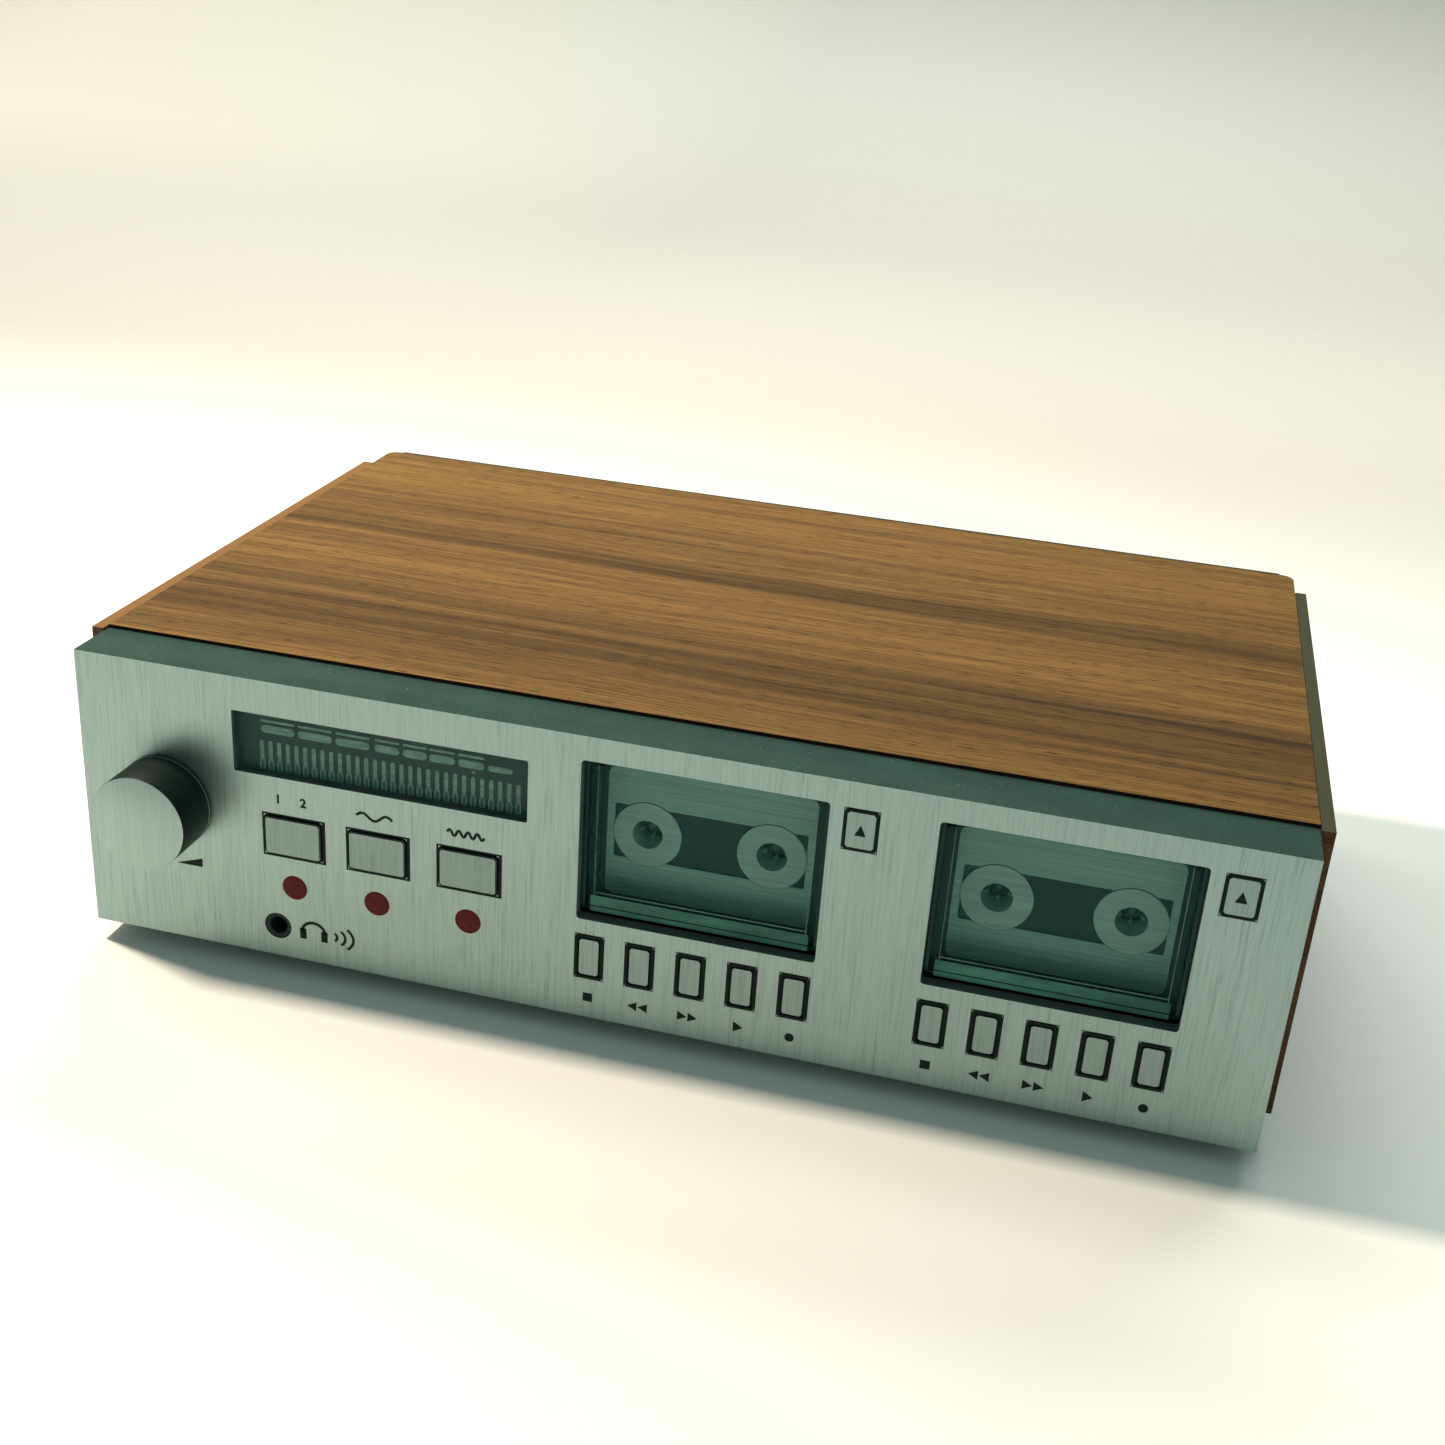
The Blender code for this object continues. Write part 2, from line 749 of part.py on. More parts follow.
def build_reel(side, hand, name, pack):
    """A cassette hub with its front ring and the tape wound on it, and six teeth inside."""
    x = hub_x(side, hand)
    front = cassette_front - reel_proud
    inside = cassette_front + shell_wall + reel_play
    pack_back = cassette_back - shell_wall - reel_play
    back = cassette_back - gap
    profile = (
        (reel_bore_radius, front),
        (reel_ring_radius, front),
        (reel_ring_radius, inside),
        (pack, inside),
        (pack, pack_back),
        (hub_radius, pack_back),
        (hub_radius, back),
        (reel_bore_radius, back),
    )
    reel = turned(f"cassette_reel_{name}_{side}", (x, 0, hub_z), profile, 36, cream, bored=True)
    teeth = bmesh.new()
    reach = (reel_bore_radius - tooth_reach, reel_bore_radius + overlap)
    level = (back - tooth_length - gap, back - gap)
    for number in range(6):
        spoke(teeth, x, 30 + 60 * number, reach, tooth_width, level)
    fuse(reel, teeth)


def spoke(mesh, x, angle, reach, width, level, lead=0.0):
    """A radial bar on a hub axis. lead chamfers its outer front edge."""
    centre = world(x + sum(reach) / 2, sum(level) / 2, hub_z)
    size = Vector((reach[1] - reach[0], level[1] - level[0], width))
    made = bmesh.ops.create_cube(mesh, size=1.0, matrix=Matrix.LocRotScale(centre, None, size))
    verts = made["verts"]
    if lead:
        outer = centre + Vector((size.x / 2, -size.y / 2, 0))
        edges = edges_along(verts, Vector((0, 0, 1)), lambda middle: (middle - outer).length < gap / 3)
        cut_back = bmesh.ops.bevel(
            mesh, geom=edges, offset=lead, segments=1, profile=0.5, affect="EDGES"
        )
        verts = list({vert for vert in verts if vert.is_valid} | set(cut_back["verts"]))
    hub = world(x, 0, hub_z)
    turn = Matrix.Rotation(math.radians(angle), 4, "Y")
    matrix = Matrix.Translation(hub) @ turn @ Matrix.Translation(-hub)
    bmesh.ops.transform(mesh, matrix=matrix, verts=verts)


def build_spindle(side, hand, name):
    """The driving spindle enters the hub from behind: its three fins stand between the hub's teeth."""
    x = hub_x(side, hand)
    tip = cassette_back - spindle_engage
    collar = (cassette_back + 0.0012, cassette_back + 0.0022)
    pulley = (plate_rear + 0.0015, plate_rear + 0.0055)
    profile = (
        (spindle_core / 2, tip - spindle_core / 2),
        (spindle_core, tip),
        (spindle_core, collar[0]),
        (spindle_fin_radius, collar[0]),
        (spindle_fin_radius, collar[1]),
        (spindle_core, collar[1]),
        (spindle_core, pulley[0]),
        (pulley_radius, pulley[0]),
        (pulley_radius, pulley[1]),
        (spindle_core, pulley[1]),
        (spindle_core, pulley[1] + 0.002),
    )
    spindle = turned(f"spindle_{name}_{side}", (x, 0, hub_z), profile, 20, black)
    fins = bmesh.new()
    reach = (spindle_core - overlap, spindle_fin_radius)
    for number in range(3):
        spoke(fins, x, 120 * number, reach, fin_width, (tip, collar[0] + overlap / 2), fin_lead)
    fuse(spindle, fins)


def build_mechanism(side):
    mid = well_x[side]
    low = floor_z
    y = (mechanism_y, plate_rear)
    body = box(around(mid, mechanism_width), y, (low, well_high + 0.003))
    plate = put(f"mechanism_plate_{side}", body, nodes, steel)
    through = (y[0] - spare, y[1] + spare)
    wheel_x = mid + flywheel_offset
    holes = bmesh.new()
    for hand in (-1, 1):
        rod(hub_x(side, hand), hub_z, through, spindle_core + slot_gap, 20, holes)
    rod(wheel_x, flywheel_z, through, capstan_radius + slot_gap, 16, holes)
    slot_width, slot_height = reel_cable_slot
    box(around(mid, slot_width), through, (low + slot_height, low + 2 * slot_height), into=holes)
    cut(plate, holes)
    rim = flywheel_radius
    near = plate_rear + flywheel_stand
    far = near + flywheel_rim[1]
    collar = plate_rear + flywheel_rim[0]
    profile = (
        (capstan_radius, mechanism_y - overlap),
        (capstan_radius, collar),
        (flywheel_hub, collar),
        (flywheel_hub, near + flywheel_step),
        (rim - flywheel_rim[0], near + flywheel_step),
        (rim, near),
        (rim, far),
        (flywheel_hub, far),
        (capstan_radius, far + 2 * flywheel_step),
    )
    turned(f"flywheel_{side}", (wheel_x, 0, flywheel_z), profile, 32, brass)


def build_motor():
    centre = (well_x["a"] - motor_offset, 0, well_low + motor_up)
    start = plate_rear + gap
    radius = motor_radius
    profile = (
        (radius - motor_edge, start),
        (radius, start + motor_edge),
        (radius, start + motor_length),
        (flywheel_hub, start + motor_length),
        (flywheel_hub, start + motor_length + motor_boss),
    )
    turned("drive_motor", centre, profile, 28, steel)


# ---- electronics ----
def build_board():
    x = around(board_x, board_size[0])
    y = around(board_y, board_size[1])
    level = floor_z + standoff
    board = put("main_board", box(x, y, (level, level + sheet)), nodes, green)
    above = level + sheet - gap
    parts = bmesh.new()
    for px in (x[0] + standoff_inset, x[1] - standoff_inset):
        for py in (y[0] + standoff_inset, y[1] - standoff_inset):
            post(px, py, (floor_z, level + gap), standoff_radius, 12, parts)
    radius, height = capacitor_size
    for number in range(capacitors):
        px = x[0] + part_inset + capacitor_pitch * number
        post(px, y[1] - part_inset, (above, above + height), radius, 16, parts)
    wide, deep, high = chip_size
    for number in range(chips):
        chip_x = around(x[0] + part_inset + chip_pitch * number, wide)
        box(chip_x, around(y[0] + part_inset, deep), (above, above + high), into=parts)
    wide, deep, high = heat_sink_size
    sink_x = around(x[1] - heat_sink_inset[0], wide)
    box(sink_x, around(y[0] + heat_sink_inset[1], deep), (above, above + high), into=parts)
    wide, deep, high = relay_size
    relay_x = around(x[1] - relay_inset[0], wide)
    box(relay_x, around(y[1] - relay_inset[1], deep), (above, above + high), into=parts)
    fuse(board, parts)


def build_transformer():
    wide, deep, high = transformer_size
    body = box(around(transformer_x, wide), around(transformer_y, deep), (floor_z, floor_z + high))
    transformer = put("power_transformer", body, nodes, steel)
    wide, deep = coil_size
    z = (floor_z + coil_z[0], floor_z + coil_z[1])
    coil = box(around(transformer_x, wide), around(transformer_y, deep), z, label_inset)
    fuse(transformer, coil)


clear_scene()
nodes = make_collection("deck")
tools = make_collection("tools")
metal = make_material("brushed_aluminium", (0.56, 0.60, 0.57), 1.0, 0.35)
steel = make_material("zinc_steel", (0.30, 0.31, 0.30), 1.0, 0.40)
walnut = make_material("walnut_veneer", (0.32, 0.17, 0.07), 0.0, 0.55)
black = make_material("black_plastic", (0.02, 0.02, 0.02), 0.0, 0.45)
smoke = make_material("smoked_plastic", (0.03, 0.05, 0.045), 0.0, 0.30)
glass = make_material("tinted_glass", (0.10, 0.20, 0.17), 0.0, 0.05)
red = make_material("red_lens", (0.30, 0.01, 0.01), 0.0, 0.25)
rubber = make_material("foot_rubber", (0.015, 0.015, 0.015), 0.0, 0.80)
cream = make_material("reel_plastic", (0.50, 0.58, 0.52), 0.0, 0.45)
brass = make_material("turned_brass", (0.55, 0.42, 0.18), 1.0, 0.35)
green = make_material("circuit_board", (0.03, 0.16, 0.07), 0.0, 0.50)

build_fascia()
build_front_plate()
build_base_pan()
build_wood()
build_back_panel()
build_rear_sockets()
build_feet()
build_level_control()
build_buttons()
build_leds()
build_jack()
build_display()
for side_name in well_x:
    build_cassette(side_name, build_door(side_name))
    build_mechanism(side_name)
    for hand_sign, hand_name, pack_radius in ((-1, "left", full_pack), (1, "right", small_pack)):
        build_reel(side_name, hand_sign, hand_name, pack_radius)
        build_spindle(side_name, hand_sign, hand_name)
build_motor()
build_board()
build_transformer()
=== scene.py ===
import math

import bmesh
import bpy
from mathutils import Matrix, Vector


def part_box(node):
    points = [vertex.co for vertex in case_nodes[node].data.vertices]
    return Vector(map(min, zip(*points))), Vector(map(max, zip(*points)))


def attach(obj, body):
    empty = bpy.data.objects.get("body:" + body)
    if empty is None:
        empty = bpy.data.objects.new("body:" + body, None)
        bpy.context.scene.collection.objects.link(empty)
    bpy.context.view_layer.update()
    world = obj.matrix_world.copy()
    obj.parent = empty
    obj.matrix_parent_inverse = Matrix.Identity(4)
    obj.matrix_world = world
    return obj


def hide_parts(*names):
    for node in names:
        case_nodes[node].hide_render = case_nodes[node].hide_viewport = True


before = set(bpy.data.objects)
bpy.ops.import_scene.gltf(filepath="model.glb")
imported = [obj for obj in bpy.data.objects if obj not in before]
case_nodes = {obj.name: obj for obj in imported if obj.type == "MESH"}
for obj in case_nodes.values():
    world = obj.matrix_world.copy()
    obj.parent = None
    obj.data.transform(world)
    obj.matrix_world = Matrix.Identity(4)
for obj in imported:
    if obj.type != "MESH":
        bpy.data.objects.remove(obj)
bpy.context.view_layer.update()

# ---------------------------------------------------------------- table, light and camera
# The deck stands on a sheet of pale card that sweeps up behind it. One small warm lamp stands high on the
# left, a wide window is behind, a third lamp washes the card's wall, and the room gives a cool fill.


def add(tree, kind, settings=None, **inputs):
    """One shader node. A value is set on its socket, and another node's output is linked to it.
    A keyword is a socket's name with _ for a space, or i and the socket's number."""
    made = tree.nodes.new("ShaderNode" + kind)
    for key, value in (settings or {}).items():
        setattr(made, key, value)
    for key, value in inputs.items():
        numbered = key[0] == "i" and key[1:].isdigit()
        socket = made.inputs[int(key[1:]) if numbered else key.replace("_", " ")]
        if isinstance(value, bpy.types.NodeSocket):
            tree.links.new(value, socket)
        else:
            socket.default_value = value
    return made


def finish_named(name):
    """A new material with its shader joined to the output, and the place on the piece for patterns."""
    made = bpy.data.materials.new(name)
    made.use_nodes = True
    tree = made.node_tree
    tree.nodes.clear()
    shader = add(tree, "BsdfPrincipled")
    output = add(tree, "OutputMaterial")
    tree.links.new(shader.outputs[0], output.inputs["Surface"])
    place = add(tree, "TexCoord").outputs["Object"]
    return made, tree, shader, place


def noise(tree, place, scale=1.0, detail=4.0, rough=0.55):
    return add(tree, "TexNoise", Vector=place, Scale=scale, Detail=detail, Roughness=rough).outputs["Fac"]


def ramp(tree, value, stops, smooth="LINEAR"):
    """Turns a value into colours, from (place, colour) pairs."""
    made = add(tree, "ValToRGB", Fac=value)
    made.color_ramp.interpolation = smooth
    band = made.color_ramp.elements
    while len(band) < len(stops):
        band.new(0.5)
    for one, (place, colour) in zip(band, stops):
        one.position = place
        one.color = (*colour, 1) if len(colour) == 3 else colour
    return made.outputs["Color"]


def mixed(tree, share, first, second):
    made = tree.nodes.new("ShaderNodeMix")
    made.data_type = "RGBA"
    made.clamp_factor = True
    for socket, value in ((made.inputs[0], share), (made.inputs[6], first), (made.inputs[7], second)):
        if isinstance(value, bpy.types.NodeSocket):
            tree.links.new(value, socket)
        else:
            socket.default_value = (*value, 1) if isinstance(value, tuple) and len(value) == 3 else value
    return made.outputs[2]


def sums(tree, how, first, second=0.5, clamp=False):
    made = add(tree, "Math", {"operation": how, "use_clamp": clamp})
    for socket, value in zip(made.inputs, (first, second)):
        if isinstance(value, bpy.types.NodeSocket):
            tree.links.new(value, socket)
        else:
            socket.default_value = value
    return made.outputs[0]


def remapped(tree, value, low, high, to_low=0.0, to_high=1.0):
    return add(tree, "MapRange", {"clamp": True}, Value=value, From_Min=low, From_Max=high, To_Min=to_low,
               To_Max=to_high).outputs["Result"]


def bumped(tree, shader, height, distance, strength=1.0):
    tree.links.new(add(tree, "Bump", Height=height, Distance=distance, Strength=strength).outputs[0],
                   shader.inputs["Normal"])


def join(tree, value, shader, word):
    tree.links.new(value, shader.inputs[word])


def from_mesh(name, build, finish, smooth_under=None):
    """An object at the origin from a function that fills a bmesh. Doubles are merged and faces point out."""
    mesh = bpy.data.meshes.new(name)
    body = bmesh.new()
    build(body)
    bmesh.ops.remove_doubles(body, verts=body.verts, dist=1e-6)
    bmesh.ops.recalc_face_normals(body, faces=body.faces)
    body.to_mesh(mesh)
    body.free()
    made = bpy.data.objects.new(name, mesh)
    bpy.context.scene.collection.objects.link(made)
    if smooth_under is not None:
        for face in mesh.polygons:
            face.use_smooth = True
        mesh.set_sharp_from_angle(angle=math.radians(smooth_under))
    mesh.materials.append(finish)
    return made


card, tree, shader, place = finish_named("warm_card")
fibre = noise(tree, place, 60, 6, 0.6)
spread = add(tree, "SeparateXYZ", Vector=place).outputs
# Painted light and shade: the card's colour darkens towards the back, and is painted warm and pale towards
# the back left.
far = ramp(tree, remapped(tree, spread["Y"], -0.2, 3.2),
           [(0.08, (0.93, 0.95, 0.89)), (0.36, (0.60, 0.57, 0.50)), (0.66, (0.49, 0.47, 0.42)),
            (1.0, (0.56, 0.56, 0.52))], "EASE")
leftwards = remapped(tree, spread["X"], -0.6, -2.2)
backwards = remapped(tree, spread["Y"], 0.6, 2.4)
tone = mixed(tree, sums(tree, "MULTIPLY", leftwards, backwards), far, (0.90, 0.83, 0.70))
flecks = remapped(tree, fibre, 0.3, 0.7, 0.0, 0.06)
join(tree, mixed(tree, flecks, tone, (0.80, 0.78, 0.70)), shader, "Base Color")
shader.inputs["Roughness"].default_value = 0.9
shader.inputs["Specular IOR Level"].default_value = 0.15
bumped(tree, shader, fibre, 0.0002, 0.2)


def sweep(body):
    """Flat card that curves up into a wall behind the deck."""
    half, front, back = 9.0, -7.0, 5.0
    turn, rise, steps = 3.0, 4.0, 16
    line = [(front, 0.0), (back - turn, 0.0)]
    for k in range(1, steps + 1):
        a = math.pi / 2 * k / steps
        line.append((back - turn + turn * math.sin(a), turn - turn * math.cos(a)))
    line.append((back, turn + rise))
    rows = [[body.verts.new((x, y, z)) for x in (-half, half)] for y, z in line]
    for low, high in zip(rows, rows[1:]):
        body.faces.new((low[0], low[1], high[1], high[0]))


floor = from_mesh("table_card", sweep, card, 40)
if floor.data.polygons[0].normal.z < 0:
    floor.data.flip_normals()

scene = bpy.context.scene
scene.view_settings.view_transform = "Standard"
room = bpy.data.worlds.new("room")
room.use_nodes = True
room_air = room.node_tree.nodes["Background"]
room_air.inputs["Color"].default_value = (0.76, 1.0, 0.97, 1)
room_air.inputs["Strength"].default_value = 0.27
scene.world = room


def lamp(name, where, towards, size, power, tint):
    data = bpy.data.lights.new(name, "AREA")
    data.shape = "RECTANGLE"
    data.size, data.size_y = size
    data.energy = power
    data.color = tint
    made = bpy.data.objects.new(name, data)
    scene.collection.objects.link(made)
    made.location = where
    made.rotation_mode = "QUATERNION"
    made.rotation_quaternion = (Vector(towards) - Vector(where)).to_track_quat("-Z", "Y")
    made.visible_camera = False
    return made


table_lamp = lamp("table_lamp", (-0.72, -0.027, 1.175), (0, 0, 0), (0.10, 0.10), 19.0, (1.0, 0.83, 0.70))
window = lamp("window", (0.25, 2.4, 2.2), (0, 0, 0.1), (3.0, 1.4), 78, (0.97, 0.98, 0.98))
window.visible_glossy = False
lamp("backdrop_wash", (-2.0, 1.3, 3.2), (-1.4, 4.6, 0.4), (4.0, 2.0), 84, (1.0, 0.97, 0.90))

# The camera stands a little to the right, looking down, and leans over slightly.
eye = Vector((0.17205, -0.7996, 0.4597))
azimuth, elevation, lean = (math.radians(a) for a in (12.72, 24.457, 4.047))
back = Vector((math.sin(azimuth) * math.cos(elevation), -math.cos(azimuth) * math.cos(elevation),
               math.sin(elevation)))
right = (-back).cross(Vector((0, 0, 1))).normalized()
up = right.cross(-back)
right, up = right * math.cos(lean) + up * math.sin(lean), up * math.cos(lean) - right * math.sin(lean)
lens = bpy.data.cameras.new("lens")
lens.lens = 44.52
lens.sensor_width = 36
lens.clip_start, lens.clip_end = 0.02, 60
camera = bpy.data.objects.new("camera", lens)
scene.collection.objects.link(camera)
camera.matrix_world = Matrix(((right.x, up.x, back.x, eye.x), (right.y, up.y, back.y, eye.y),
                              (right.z, up.z, back.z, eye.z), (0, 0, 0, 1)))
scene.camera = camera

# ---------------------------------------------------------------- front fascia
# A pressed aluminium front with folded edges. Its face is brushed upright and clear anodised; the folded
# edges keep a darker, unbrushed coat. The plate behind it, the pan and the level control are zinc-plated
# steel, and the mechanism plates are plated dark.

mm = 0.001
face_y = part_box("fascia")[0].y
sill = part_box("fascia")[0].z


def clad(finish, *names):
    """Gives carried-over pieces their finish."""
    for one in names:
        mesh = case_nodes[one].data
        mesh.materials.clear()
        mesh.materials.append(finish)


def times(share, colour):
    return tuple(share * v for v in colour)


def stretched(tree, place, scale, shift=(0, 0, 0)):
    return add(tree, "Mapping", Vector=place, Scale=scale, Location=shift).outputs["Vector"]


def axis_part(tree, place, axis):
    return add(tree, "SeparateXYZ", Vector=place).outputs[axis]


def facing(tree, axis):
    """1 where the surface looks along that axis, either way, and 0 where it runs along it."""
    towards = add(tree, "SeparateXYZ", Vector=add(tree, "TexCoord").outputs["Normal"]).outputs[axis]
    return remapped(tree, sums(tree, "ABSOLUTE", towards), 0.55, 0.8)


def brushed(name, light, dark, coat, coat_above=None):
    """Brushed metal: upright hair lines, a few longer strokes and a cloudy tone under them.
    Only faces that look forwards or back are brushed. The others keep their coat."""
    made, tree, shader, place = finish_named(name)
    hair = noise(tree, stretched(tree, place, (2600, 2600, 60)), 1, 3, 0.6)
    strokes = noise(tree, stretched(tree, place, (900, 900, 22), shift=(3, 1, 7)), 1, 4, 0.6)
    cloud = noise(tree, place, 9, 3, 0.5)
    shade = sums(tree, "ADD", sums(tree, "MULTIPLY", hair, 0.6), sums(tree, "MULTIPLY", strokes, 0.4))
    between = tuple(0.3 * d + 0.7 * l for d, l in zip(dark, light))
    colour = ramp(tree, shade, [(0.36, dark), (0.48, between), (0.62, light)])
    long = noise(tree, stretched(tree, place, (420, 420, 6), shift=(7, 0, 2)), 1, 1, 0.5)
    scratch = remapped(tree, long, 0.70, 0.78)
    colour = mixed(tree, sums(tree, "MULTIPLY", scratch, 0.5), colour, times(0.72, dark))
    colour = mixed(tree, remapped(tree, cloud, 0.3, 0.7, 0.0, 0.30), colour, times(0.9, light))
    front = facing(tree, "Y")
    speck = remapped(tree, noise(tree, place, 900, 2, 0.5), 0.70, 0.78)
    blotch = remapped(tree, noise(tree, place, 40, 5, 0.6), 0.3, 0.7)
    edge = mixed(tree, blotch, times(0.85, coat), times(1.15, coat))
    edge = mixed(tree, speck, edge, tuple(0.5 * (c + l) for c, l in zip(coat, light)))
    if coat_above is not None:
        # below the top fold the cut walls of the openings are bare grey metal
        bare = remapped(tree, axis_part(tree, place, "Z"), coat_above, coat_above - 0.2 * mm)
        edge = mixed(tree, bare, edge, mixed(tree, blotch, times(0.20, light), times(0.40, light)))
    join(tree, mixed(tree, front, edge, colour), shader, "Base Color")
    join(tree, sums(tree, "ADD", sums(tree, "MULTIPLY", front, -0.17), 0.55), shader, "Roughness")
    join(tree, sums(tree, "MULTIPLY", front, 0.90), shader, "Metallic")
    shader.inputs["Anisotropic"].default_value = 0.35
    shader.inputs["Specular IOR Level"].default_value = 0.12
    bumped(tree, shader, shade, 0.00003, 0.3)
    return made


face_light, face_dark, edge_coat = (0.312, 0.412, 0.396), (0.208, 0.282, 0.271), (0.022, 0.052, 0.043)
top_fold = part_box("fascia")[1].z - 2 * mm
brushed_aluminium = brushed("brushed_aluminium", face_light, face_dark, edge_coat, top_fold)
clad(brushed_aluminium, "fascia")


def uneven(tree, shader, pattern, low, high):
    """A shine that wanders with the pattern: roughness from low to high."""
    join(tree, remapped(tree, pattern, 0.3, 0.7, low, high), shader, "Roughness")


def plated(name, light, dark, rough=0.35, spangle=160):
    """Plated steel: soft crystals in the plating, and a slightly uneven shine."""
    made, tree, shader, place = finish_named(name)
    crystal = add(tree, "TexVoronoi", Vector=place, Scale=spangle).outputs["Color"]
    level = add(tree, "SeparateXYZ", Vector=crystal).outputs["X"]
    smear = noise(tree, place, 30, 4)
    join(tree, mixed(tree, sums(tree, "MULTIPLY", level, 0.6), dark, light), shader, "Base Color")
    uneven(tree, shader, smear, rough - 0.08, rough + 0.12)
    shader.inputs["Metallic"].default_value = 1.0
    bumped(tree, shader, smear, 0.00003, 0.3)
    return made


zinc_steel = plated("zinc_steel", (0.34, 0.36, 0.35), (0.24, 0.26, 0.25))
clad(zinc_steel, "front_subchassis", "base_pan", "level_pot", "level_pot_shaft")
dark_plated = plated("dark_plated_steel", (0.030, 0.085, 0.072), (0.018, 0.060, 0.050), 0.5)
clad(dark_plated, "mechanism_plate_a", "mechanism_plate_b")

# ---------------------------------------------------------------- printed marks on the fascia
# Screen-printed black ink, a hair thick: two numerals, plain symbols where a maker would print words,
# the transport symbols under the keys and the eject arrows on their buttons. The same black also paints
# shade in the keys' grooves and shadow round the slots.


def toned(tree, shader, pattern, low, high, first, second):
    """The first colour where the pattern is at low, the second where it is at high."""
    join(tree, mixed(tree, remapped(tree, pattern, low, high), first, second), shader, "Base Color")


ink_and_shade_paint, tree, shader, place = finish_named("print_and_shade_black")
worn = noise(tree, place, 1500, 3, 0.6)
toned(tree, shader, worn, 0.60, 0.78, (0.010, 0.018, 0.016), (0.060, 0.080, 0.070))
uneven(tree, shader, worn, 0.5, 0.75)
shader.inputs["Specular IOR Level"].default_value = 0.08

ink_depth = 0.06 * mm


def printed(body, outline, y=None, depth=ink_depth):
    """A flat mark of that outline, (x, z) points, standing a hair proud of the face at y."""
    y = face_y if y is None else y
    rows = [[body.verts.new((px, py, pz)) for px, pz in outline] for py in (y - depth, y + depth * 0.2)]
    body.faces.new(rows[0])
    body.faces.new(list(reversed(rows[1])))
    for k in range(len(outline)):
        j = (k + 1) % len(outline)
        body.faces.new((rows[0][k], rows[1][k], rows[1][j], rows[0][j]))


def square(x, z, w, h):
    return [(x - w / 2, z - h / 2), (x + w / 2, z - h / 2), (x + w / 2, z + h / 2), (x - w / 2, z + h / 2)]


def arrow(x, z, w, h, point=1):
    """A triangle that points right, or left with point -1."""
    return [(x - point * w / 2, z - h / 2), (x + point * w / 2, z), (x - point * w / 2, z + h / 2)]


def disc(x, z, r):
    angles = [math.tau * k / 28 for k in range(28)]
    return [(x + r * math.cos(a), z + r * math.sin(a)) for a in angles]


def stroke(body, points, thick, y=None):
    """An inked line through those points."""
    for (ax, az), (bx, bz) in zip(points, points[1:]):
        length = math.hypot(bx - ax, bz - az)
        nx, nz = -(bz - az) / length * thick / 2, (bx - ax) / length * thick / 2
        printed(body, [(ax + nx, az + nz), (ax - nx, az - nz), (bx - nx, bz - nz), (bx + nx, bz + nz)], y)


key_word = ("stop", "rewind", "forward", "play", "record")


def key_centre(word, deck):
    low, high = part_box(f"key_{word}_{deck}")
    return (low.x + high.x) / 2


symbol_z, symbol_size = sill + 10.3 * mm, 5.0 * mm


def transport_symbols(deck):
    def build(body):
        s = symbol_size
        x = key_centre("stop", deck)
        printed(body, square(x, symbol_z, 0.86 * s, 0.86 * s))
        for word, point in (("rewind", -1), ("forward", 1)):
            x = key_centre(word, deck)
            for side in (-1, 1):
                printed(body, arrow(x + side * 0.47 * s, symbol_z, 0.86 * s, 0.92 * s, point))
        printed(body, arrow(key_centre("play", deck), symbol_z, 0.9 * s, 1.05 * s))
        printed(body, disc(key_centre("record", deck), symbol_z, 0.42 * s))
    return build


for deck in "ab":
    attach(from_mesh(f"transport_symbols_{deck}", transport_symbols(deck), ink_and_shade_paint), "case")
    low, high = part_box(f"eject_button_{deck}")
    ex, ez, ew = (low.x + high.x) / 2, (low.z + high.z) / 2, 4.8 * mm
    marked = [(ex - ew / 2, ez - ew * 0.5), (ex + ew / 2, ez - ew * 0.5), (ex, ez + ew * 0.55)]
    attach(from_mesh(f"eject_arrow_{deck}", lambda body, m=marked, y=low.y: printed(body, m, y), ink_and_shade_paint),
            f"eject_{deck}")


def fascia_marks(body):
    # a slow wave and a quick wave over their selectors
    wide, tall, wave_z = 17.0, 3.2, 80.0
    for x, waves in ((-123.8, 1.5), (-81.3, 4.0)):
        points = []
        for k in range(41):
            lift = tall / 2 * math.sin(math.tau * waves * k / 40)
            points.append(((x + wide * (k / 40 - 0.5)) * mm, sill + (wave_z + lift) * mm))
        stroke(body, points, 1.25 * mm)
    # headphones beside their socket: a band, two cups and three sound arcs
    middle, cup_out, cup_z = -154.5, 5.2, 14.0
    band = []
    for k in range(17):
        a = math.pi * k / 16
        band.append(((middle + 5.6 * math.cos(a)) * mm, sill + (15.4 + 5.0 * math.sin(a)) * mm))
    stroke(body, band, 1.5 * mm)
    for side in (-1, 1):
        printed(body, square((middle + side * cup_out) * mm, sill + cup_z * mm, 3.2 * mm, 5.4 * mm))
    for reach in (5.0, 9.0, 13.0):
        arc = [((middle + 6.5 + reach * math.cos(math.radians(a))) * mm,
                sill + (15.2 + reach * 0.62 * math.sin(math.radians(a))) * mm) for a in range(-40, 41, 10)]
        stroke(body, arc, 1.3 * mm)
    # a rising wedge under the knob
    left, right_end = -221.5 * mm, -208.5 * mm
    foot, head = sill + 38.6 * mm, sill + 43.0 * mm
    printed(body, [(left, foot), (right_end, foot), (right_end, head)])


